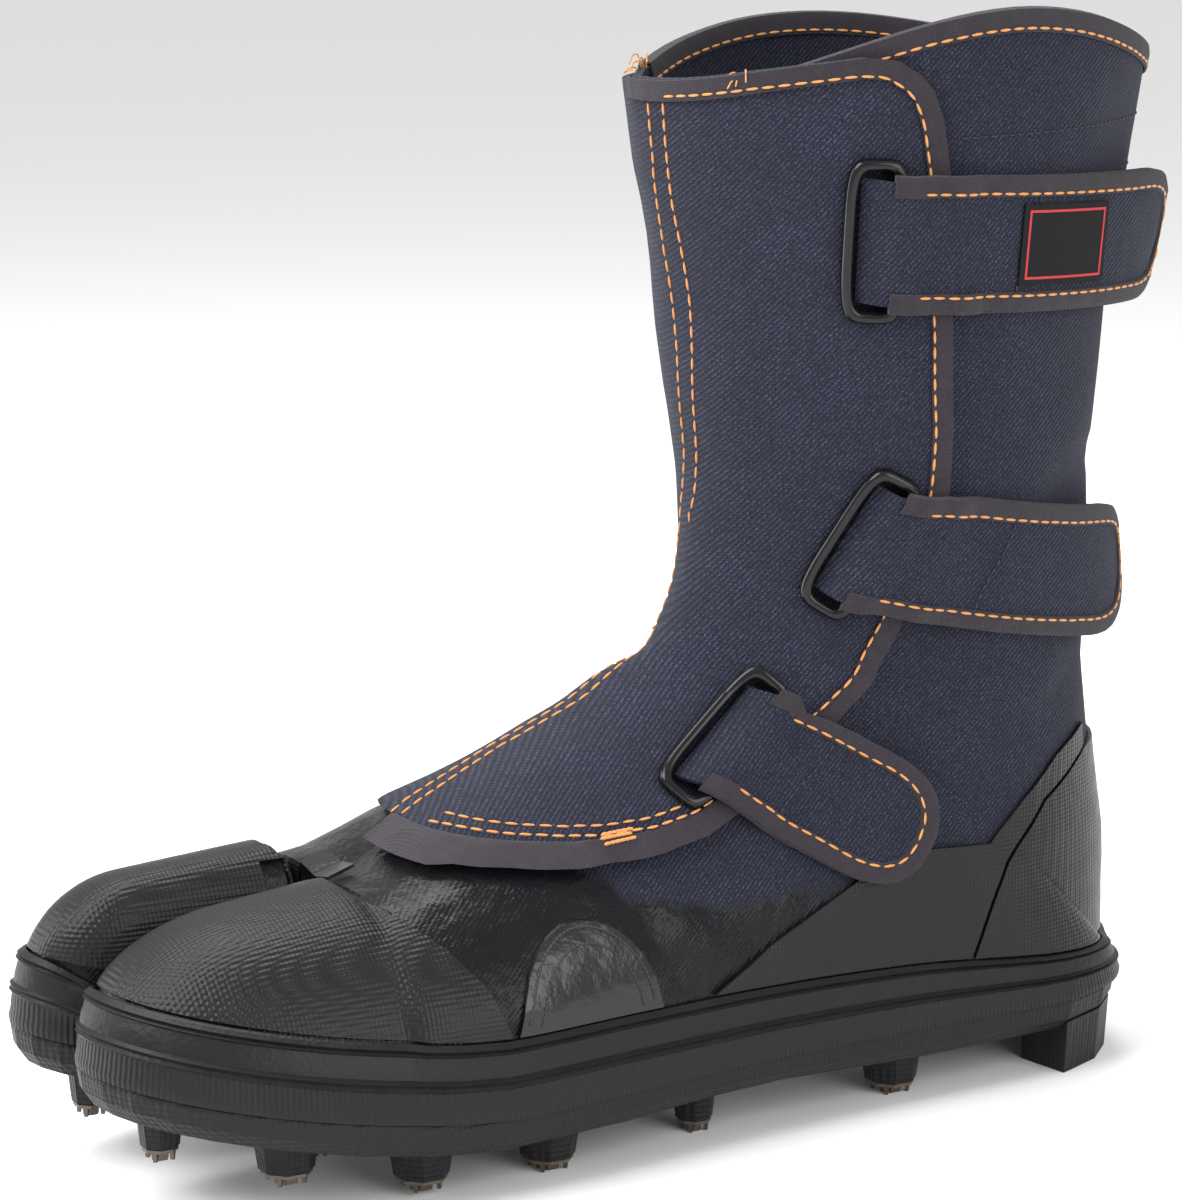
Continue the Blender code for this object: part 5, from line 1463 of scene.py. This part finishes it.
def collar_piece():
    """Tape folded over the collar, from the flap's free edge round the heel to the inner front seam."""
    rows = [(section("lateral", station, FINE * COLUMNS), section("medial", station, FINE * COLUMNS))
            for station in (COLLAR - 0.12, COLLAR)]
    lateral = [(low, high) for low, high in zip(rows[0][0], rows[1][0]) if high[1] > place(0.425)]
    medial = [(low, high) for low, high in zip(rows[0][1], rows[1][1])
              if high[1] > place(FLAP_SEAM[-1][0]) + GAP]
    rim = lateral[::-1] + medial[1:]
    shape = [(GAP, -BINDING_WIDTH), (COLLAR_TAPE, -BINDING_WIDTH), (COLLAR_FOLD, -COLLAR_FOLD),
             (COLLAR_LIP, COLLAR_LIP), (-WALL / 2, COLLAR_FOLD), (-WALL - COLLAR_LIP, COLLAR_LIP),
             (-WALL - COLLAR_FOLD, -COLLAR_FOLD), (-WALL - COLLAR_TAPE, -BINDING_WIDTH),
             (-WALL - GAP, -BINDING_WIDTH), (-WALL - GAP, GAP), (GAP, GAP)]
    rings, outside, inside = [], [], []
    skin = BVHTree.FromBMesh(surfaces()["sheet"])
    for number, (low, high) in enumerate(rim):
        before, after = rim[max(number - 1, 0)][1], rim[min(number + 1, len(rim) - 1)][1]
        run = Vector(after - before).normalized()
        up = Vector(high - low).normalized()
        out = run.cross(up).normalized()
        out = out if out.dot(Vector((high[0], high[1] - place(0.2), 0.0))) > 0 else -out
        near = skin.find_nearest(Vector(high))[0]
        top = Vector((near.x, near.y, high[2]))
        thin = UNDER_FLAP if high[1] < place(FLAP_CORNER) + GAP and high[0] > 0 else 1.0
        rings.append([top + out * (across * thin if across > 0 else across) + up * rise
                      for across, rise in shape])
        outside.append(top + out * COLLAR_FOLD * thin - up * SEAM_DEPTH)
        inside.append(top - out * (WALL + COLLAR_FOLD) - up * SEAM_DEPTH)
    dress(add_object("collar_binding_tape", closed_strip(rings, False)), "tape", "denim", "collar_binding")
    stitches("collar_stitches", [outside, inside], "thread", "denim")
    strands = []
    for ring, outwards in ((rings[0], 0.2), (rings[-1], 0.3)):
        way = Vector((outwards, -1.0, 0.0))
        for lean, rise, side in TUFT:
            first = ring[4] + Vector((side * 0.3, 0.0, -0.004))
            strands.append([first + way * lean * part * 0.6 + Vector((side * 1.5 * part, 0.0, rise * bow))
                            for part, bow in ((0.0, 0.0), (0.2, 0.5), (0.5, 0.85), (0.8, 0.8), (1.0, 0.55))])
    stitches("thread_ends", strands, "thread", "denim", spacing=0.0005, length=0.0011, thickness=0.0004)


CROSS_SEAM = 0.38         # place of the dark seam across a strap, share of its reach


def strap_pieces():
    """Frames, straps, their tapes and their stitches."""
    smooth = surfaces()["smooth"]
    for name, strap in STRAPS.items():
        dress(make_frame("frame_" + name, smooth, strap), "gloss", "frame_gloss", "slot_frame_" + name)
        dress(make_strap("strap_cloth_" + name, smooth, strap), "strap", "denim", "strap_" + name)
        make_strap_tape("strap_tape_" + name, strap)
        spot = strap_surface(smooth, strap)
        line = inset(strap_edge(strap, FRAME_BACK + 0.005), -0.0037)
        on_tape = [spot(stop, across, STRAP_THICKNESS + 0.0007) for stop, across in line]
        stitches("strap_stitches_" + name, [on_tape], "thread", "denim")
        middle, half = strap["reach"] * CROSS_SEAM, STRAP_WIDTH / 2 - 0.001
        seam = [spot(middle + 0.0025 * math.sin(part * 2.2), part * half, STRAP_THICKNESS + 0.0001)
                for part in np.linspace(-1, 1, 16)]
        stitches("strap_cross_seam_" + name, [seam], "dark_thread", "denim",
                 spacing=0.0022, length=0.0019, thickness=0.0006)


def label_piece():
    """The bare label patch with its red border line."""
    top = STRAPS["top"]
    height = STRAP_THICKNESS + GAP
    end, half = LABEL_PLACE + LABEL_WIDTH, LABEL_HEIGHT / 2
    dress(strap_band("label_cloth_patch", top, LABEL_PLACE, end, -half, half, height, LABEL_THICKNESS),
          "label", "denim", "label_patch")
    line, margin, over = 0.0006, 0.0014, height + LABEL_THICKNESS
    low, high, edge = LABEL_PLACE + margin, end - margin, half - margin
    sides = [(low, high, edge - line, edge), (low, high, -edge, -edge + line),
             (low, low + line, -edge + line, edge - line), (high - line, high, -edge + line, edge - line)]
    border = join("label_border", [strap_band("side", top, *side, over, 0.00012) for side in sides])
    dress(border, "red", "denim")


def rubber_pieces():
    """The rubber panels and the ridged tape."""
    make_overlays(surfaces()["sheet"])
    for name in ("toe_cap_lateral", "toe_cap_medial", "quarter_guard_lateral", "quarter_guard_medial",
                 "heel_counter"):
        dress(bpy.data.objects[name + "_rubber"], "panel", "rubber", name)
    for name in ("side_patch_lateral", "side_patch_medial", "cleft_patch"):
        dress(bpy.data.objects[name + "_rubber"], "patch", "rubber", name)
    dress(make_foxing(foot_path(), surfaces()["sheet"]), "foxing", "rubber", "foxing")


def patch_seams():
    """Raised arcs on the half-moon patches."""
    rows = [from_side(half_moon(part, 0.30, 24), GAP + PATCH_THICKNESS, side)
            for side in (1.0, -1.0) for part in (0.90, 0.74)]
    stitches("patch_seams", rows, "dark_thread", "rubber", spacing=0.0013, length=0.0016, thickness=0.0008)


# The two rows of the flap's front seam, from the collar down, as points in millimetres
FRONT_ROWS = [
    [(4.9, 8.8, 247.6), (4.3, 10.2, 237.4), (3.3, 12, 225.3), (3.8, 14, 213.1), (4.2, 16, 200.9),
     (3.5, 17.9, 188.5), (2.1, 19.6, 175.9), (1.5, 20.9, 163.4), (0.4, 21.3, 153.2), (-1.6, 21.1, 145.5),
     (-3.3, 20.2, 135.2), (-6.4, 19.2, 127.3), (-8, 17.2, 120.9), (-7.9, 12, 113.8), (-6, 1.7, 107.7),
     (-5.9, -6.8, 102.9), (-9.9, -15.9, 97.1), (-12.5, -28.4, 89.7), (-10.8, -40.4, 84.5),
     (-7.5, -55.4, 78.4)],
    [(-0.7, 8.4, 247.2), (-0.9, 9.9, 237), (-2.9, 12, 224.7), (-4.1, 14.1, 212.4), (-3.5, 16.1, 200.1),
     (-3.3, 18, 187.7), (-4.7, 20, 175), (-5, 21.4, 162.4), (-6.6, 22, 154.6), (-8.6, 22.4, 146.5),
     (-9.8, 21.2, 135.2), (-11.6, 19.6, 127.3), (-12.6, 17.0, 120.4), (-12.4, 11.6, 113.2), (-11, 1.4, 107.2),
     (-11.6, -7.2, 102.2), (-14.6, -16.6, 96.3), (-16.6, -29, 88.9), (-15.2, -41, 83.6), (-12, -55.8, 77.4)],
]


def cloth_stitches():
    """Orange rows on the flap and its front seam, and dark rows on the shaft."""
    on_tape = GAP + FLAP_THICKNESS + GAP + BINDING_THICKNESS + 0.0001
    edge = outline(FLAP_EDGE)
    rows = [from_side(inset(edge, 0.0040), on_tape)]
    rows.append(from_side(inset(outline(FLAP_EDGE[1:8]), 0.0062), GAP + FLAP_THICKNESS + 0.0002))
    rows += [laid([tuple(part / 1000 for part in point) for point in row], GAP + FLAP_THICKNESS + 0.0001)
             for row in FRONT_ROWS]
    stitches("flap_stitches", rows, "thread", "denim")
    bar = [from_side(outline([(share, up), (share - 0.022, up + 0.006)]), on_tape)
           for share, up in ((0.560, 0.592), (0.562, 0.602), (0.560, 0.611))]
    stitches("flap_bartack", bar, "thread", "denim", spacing=0.0011, length=0.0021, thickness=0.0009)
    dark = [from_side(outline([(0.26, up), (-0.012, up + 0.012)]), 0.0001, side)
            for side in (1.0, -1.0) for up in (1.935, 1.845)]
    stitches("shaft_stitches", dark, "dark_thread", "denim", spacing=0.0026, length=0.0020, thickness=0.0006)


def rigid_pieces():
    """The pieces whose solids already have the right shape get their materials."""
    repaint("sole", "outsole")
    repaint("felt", "insole")
    repaint("steel", *[name for name in frame["nodes"] if name.startswith("spike_")])


# Stage

TARGET = Vector((0.0, 0.0, 0.135)) + SHIFT
CAMERA_WAY = (60.0, 11.0)         # azimuth and elevation of the photograph
CAMERA_DISTANCE = 1.0
PHOTO_SIZE = (1182, 1200)
FOCAL_PIXELS = 4100
TARGET_PIXEL = (626, 571)
SENSOR = 36.0
FLOOR_RADIUS = 14.0
# Softboxes: metres ahead of the boot, to its right and above the floor as the camera sees it, the place
# aimed at, the size, and the power as a share of the key's
SOFTBOXES = [
    ("key_softbox", 0.50, -0.75, 1.05, (0.0, -0.03, 0.08), (0.8, 0.8), 1.0),
    ("fill_softbox", 0.90, 0.80, 0.55, (0.0, 0.03, 0.12), (0.9, 0.9), 0.55),
    ("top_softbox", -0.35, -0.20, 1.20, (0.0, 0.0, 0.10), (0.9, 0.5), 0.6),
    ("toe_softbox", -0.25, -1.10, 0.35, (0.0, -0.05, 0.10), (0.5, 0.8), 0.35),
]


def area_light(name, at, aim, size, power):
    data = bpy.data.lights.new(name, "AREA")
    data.shape = "RECTANGLE"
    data.size, data.size_y = size
    data.energy = power
    lamp = bpy.data.objects.new(name, data)
    lamp.location = at
    lamp.rotation_euler = (Vector(aim) - at).to_track_quat("-Z", "Y").to_euler()
    bpy.context.scene.collection.objects.link(lamp)


def make_stage():
    """Floor, camera, world and softboxes."""
    scene = bpy.context.scene
    looks = scene.tabi
    floor = bmesh.new()
    bmesh.ops.create_circle(floor, cap_ends=True, segments=64, radius=FLOOR_RADIUS)
    ground = add_object("floor", floor)
    paper = Finish("pale_paper", tuple(looks.floor), 0.9)
    paper.bump(paper.noise(0.002, 2.0), 0.00003)
    ground.data.materials.append(paper.material)

    azimuth, elevation = (math.radians(value) for value in CAMERA_WAY)
    way = Vector((math.sin(azimuth) * math.cos(elevation), -math.cos(azimuth) * math.cos(elevation),
                  math.sin(elevation)))
    data = bpy.data.cameras.new("photo_camera")
    data.sensor_fit = "AUTO"
    data.sensor_width = SENSOR
    longest = max(PHOTO_SIZE)
    data.lens = FOCAL_PIXELS / longest * SENSOR
    data.shift_x = (PHOTO_SIZE[0] / 2 - TARGET_PIXEL[0]) / longest
    data.shift_y = (TARGET_PIXEL[1] - PHOTO_SIZE[1] / 2) / longest
    data.clip_start = 0.01
    camera = bpy.data.objects.new("photo_camera", data)
    camera.location = TARGET + way * CAMERA_DISTANCE
    camera.rotation_euler = (-way).to_track_quat("-Z", "Y").to_euler()
    scene.collection.objects.link(camera)
    scene.camera = camera

    world = bpy.data.worlds.new("studio")
    world.use_nodes = True
    background = world.node_tree.nodes["Background"]
    background.inputs["Color"].default_value = (1.0, 1.0, 1.0, 1.0)
    background.inputs["Strength"].default_value = looks.ambient
    scene.world = world
    scene.view_settings.view_transform = "Standard"
    right = Vector((-way.y, way.x, 0.0)).normalized()
    front = Vector((way.x, way.y, 0.0)).normalized()
    for name, ahead, aside, up, aim, size, share in SOFTBOXES:
        at = front * ahead + right * aside + Vector((0.0, 0.0, up))
        area_light(name, at, aim, size, looks.key_power * share)


# Settings, operators and panel


def color_setting(name, text, default):
    return bpy.props.FloatVectorProperty(
        name=name, description=text, subtype="COLOR", size=3, default=default)


class TabiLooks(bpy.types.PropertyGroup):
    denim: color_setting("Denim", "Base colour of the twill", (0.0092, 0.0100, 0.0178))
    coating: color_setting("Coating", "Colour of the rubber coating on the foot", (0.0035, 0.0038, 0.0048))
    rubber: color_setting("Rubber", "Colour of sole, tape and panels", (0.0066, 0.0066, 0.0072))
    tape: color_setting("Tape", "Colour of the bias tape", (0.0270, 0.0225, 0.0290))
    thread: color_setting("Thread", "Colour of the visible stitches", (0.60, 0.235, 0.042))
    floor: color_setting("Floor", "Colour of the floor", (0.90, 0.90, 0.90))
    twill_pitch: bpy.props.FloatProperty(
        name="Twill pitch", description="Distance between the twill's ribs",
        default=0.0015, min=0.0003, max=0.005, unit="LENGTH", precision=5)
    rib_pitch: bpy.props.FloatProperty(
        name="Rib pitch", description="Distance between the upright ribs of the tape",
        default=0.0013, min=0.0005, max=0.006, unit="LENGTH", precision=5)
    crease_depth: bpy.props.FloatProperty(
        name="Crease depth", description="Factor on the depth of the creases",
        default=1.0, min=0.0, max=1.2, subtype="FACTOR")
    ambient: bpy.props.FloatProperty(
        name="Ambient", description="Strength of the light from all round",
        default=0.80, min=0.0, max=5.0)
    key_power: bpy.props.FloatProperty(
        name="Key power", description="Power of the largest softbox",
        default=19.0, min=0.0, max=500.0, unit="POWER")


class TABI_OT_upper(bpy.types.Operator):
    """Makes the creased twill upper with its coated foot"""
    bl_idname = "tabi.upper"
    bl_label = "Upper"

    def execute(self, context):
        upper_piece()
        return {"FINISHED"}


class TABI_OT_flap(bpy.types.Operator):
    """Makes the front flap and its tape"""
    bl_idname = "tabi.flap"
    bl_label = "Front flap"

    def execute(self, context):
        flap_pieces()
        return {"FINISHED"}


class TABI_OT_collar(bpy.types.Operator):
    """Makes the tape round the collar with its stitches"""
    bl_idname = "tabi.collar"
    bl_label = "Collar tape"

    def execute(self, context):
        collar_piece()
        return {"FINISHED"}


class TABI_OT_straps(bpy.types.Operator):
    """Makes the slot frames, straps, tapes and stitches"""
    bl_idname = "tabi.straps"
    bl_label = "Straps"

    def execute(self, context):
        strap_pieces()
        return {"FINISHED"}


class TABI_OT_label(bpy.types.Operator):
    """Makes the bare label patch with its red border"""
    bl_idname = "tabi.label"
    bl_label = "Label patch"

    def execute(self, context):
        label_piece()
        return {"FINISHED"}


class TABI_OT_rubber(bpy.types.Operator):
    """Makes the rubber panels and the ridged tape"""
    bl_idname = "tabi.rubber"
    bl_label = "Rubber"

    def execute(self, context):
        rubber_pieces()
        return {"FINISHED"}


class TABI_OT_seams(bpy.types.Operator):
    """Makes the raised arcs on the side patches"""
    bl_idname = "tabi.seams"
    bl_label = "Patch seams"

    def execute(self, context):
        patch_seams()
        return {"FINISHED"}


class TABI_OT_stitching(bpy.types.Operator):
    """Makes the rows of stitches on flap and shaft"""
    bl_idname = "tabi.stitching"
    bl_label = "Stitching"

    def execute(self, context):
        cloth_stitches()
        return {"FINISHED"}


class TABI_OT_rigid(bpy.types.Operator):
    """Gives sole, insole and spikes their materials"""
    bl_idname = "tabi.rigid"
    bl_label = "Sole and spikes"

    def execute(self, context):
        rigid_pieces()
        return {"FINISHED"}


class TABI_OT_stage(bpy.types.Operator):
    """Makes the floor, the lights and the camera"""
    bl_idname = "tabi.stage"
    bl_label = "Stage"

    def execute(self, context):
        make_stage()
        return {"FINISHED"}


OPERATORS = [
    TABI_OT_upper, TABI_OT_flap, TABI_OT_collar, TABI_OT_straps, TABI_OT_label, TABI_OT_rubber,
    TABI_OT_seams, TABI_OT_stitching, TABI_OT_rigid, TABI_OT_stage,
]


class TABI_PT_looks(bpy.types.Panel):
    """Settings and pieces of the jika tabi"""
    bl_label = "Jika tabi"
    bl_space_type = "VIEW_3D"
    bl_region_type = "UI"
    bl_category = "Tabi"

    def draw(self, context):
        for name in TabiLooks.__annotations__:
            self.layout.prop(context.scene.tabi, name)
        for kind in OPERATORS:
            self.layout.operator(kind.bl_idname)


CLASSES = [TabiLooks, *OPERATORS, TABI_PT_looks]


def register():
    for kind in CLASSES:
        bpy.utils.register_class(kind)
    bpy.types.Scene.tabi = bpy.props.PointerProperty(type=TabiLooks)


def unregister():
    del bpy.types.Scene.tabi
    for kind in reversed(CLASSES):
        bpy.utils.unregister_class(kind)


def main():
    register()
    for kind in OPERATORS:
        name = kind.bl_idname.split(".")[1]
        getattr(bpy.ops.tabi, name)()


if __name__ == "__main__":
    main()
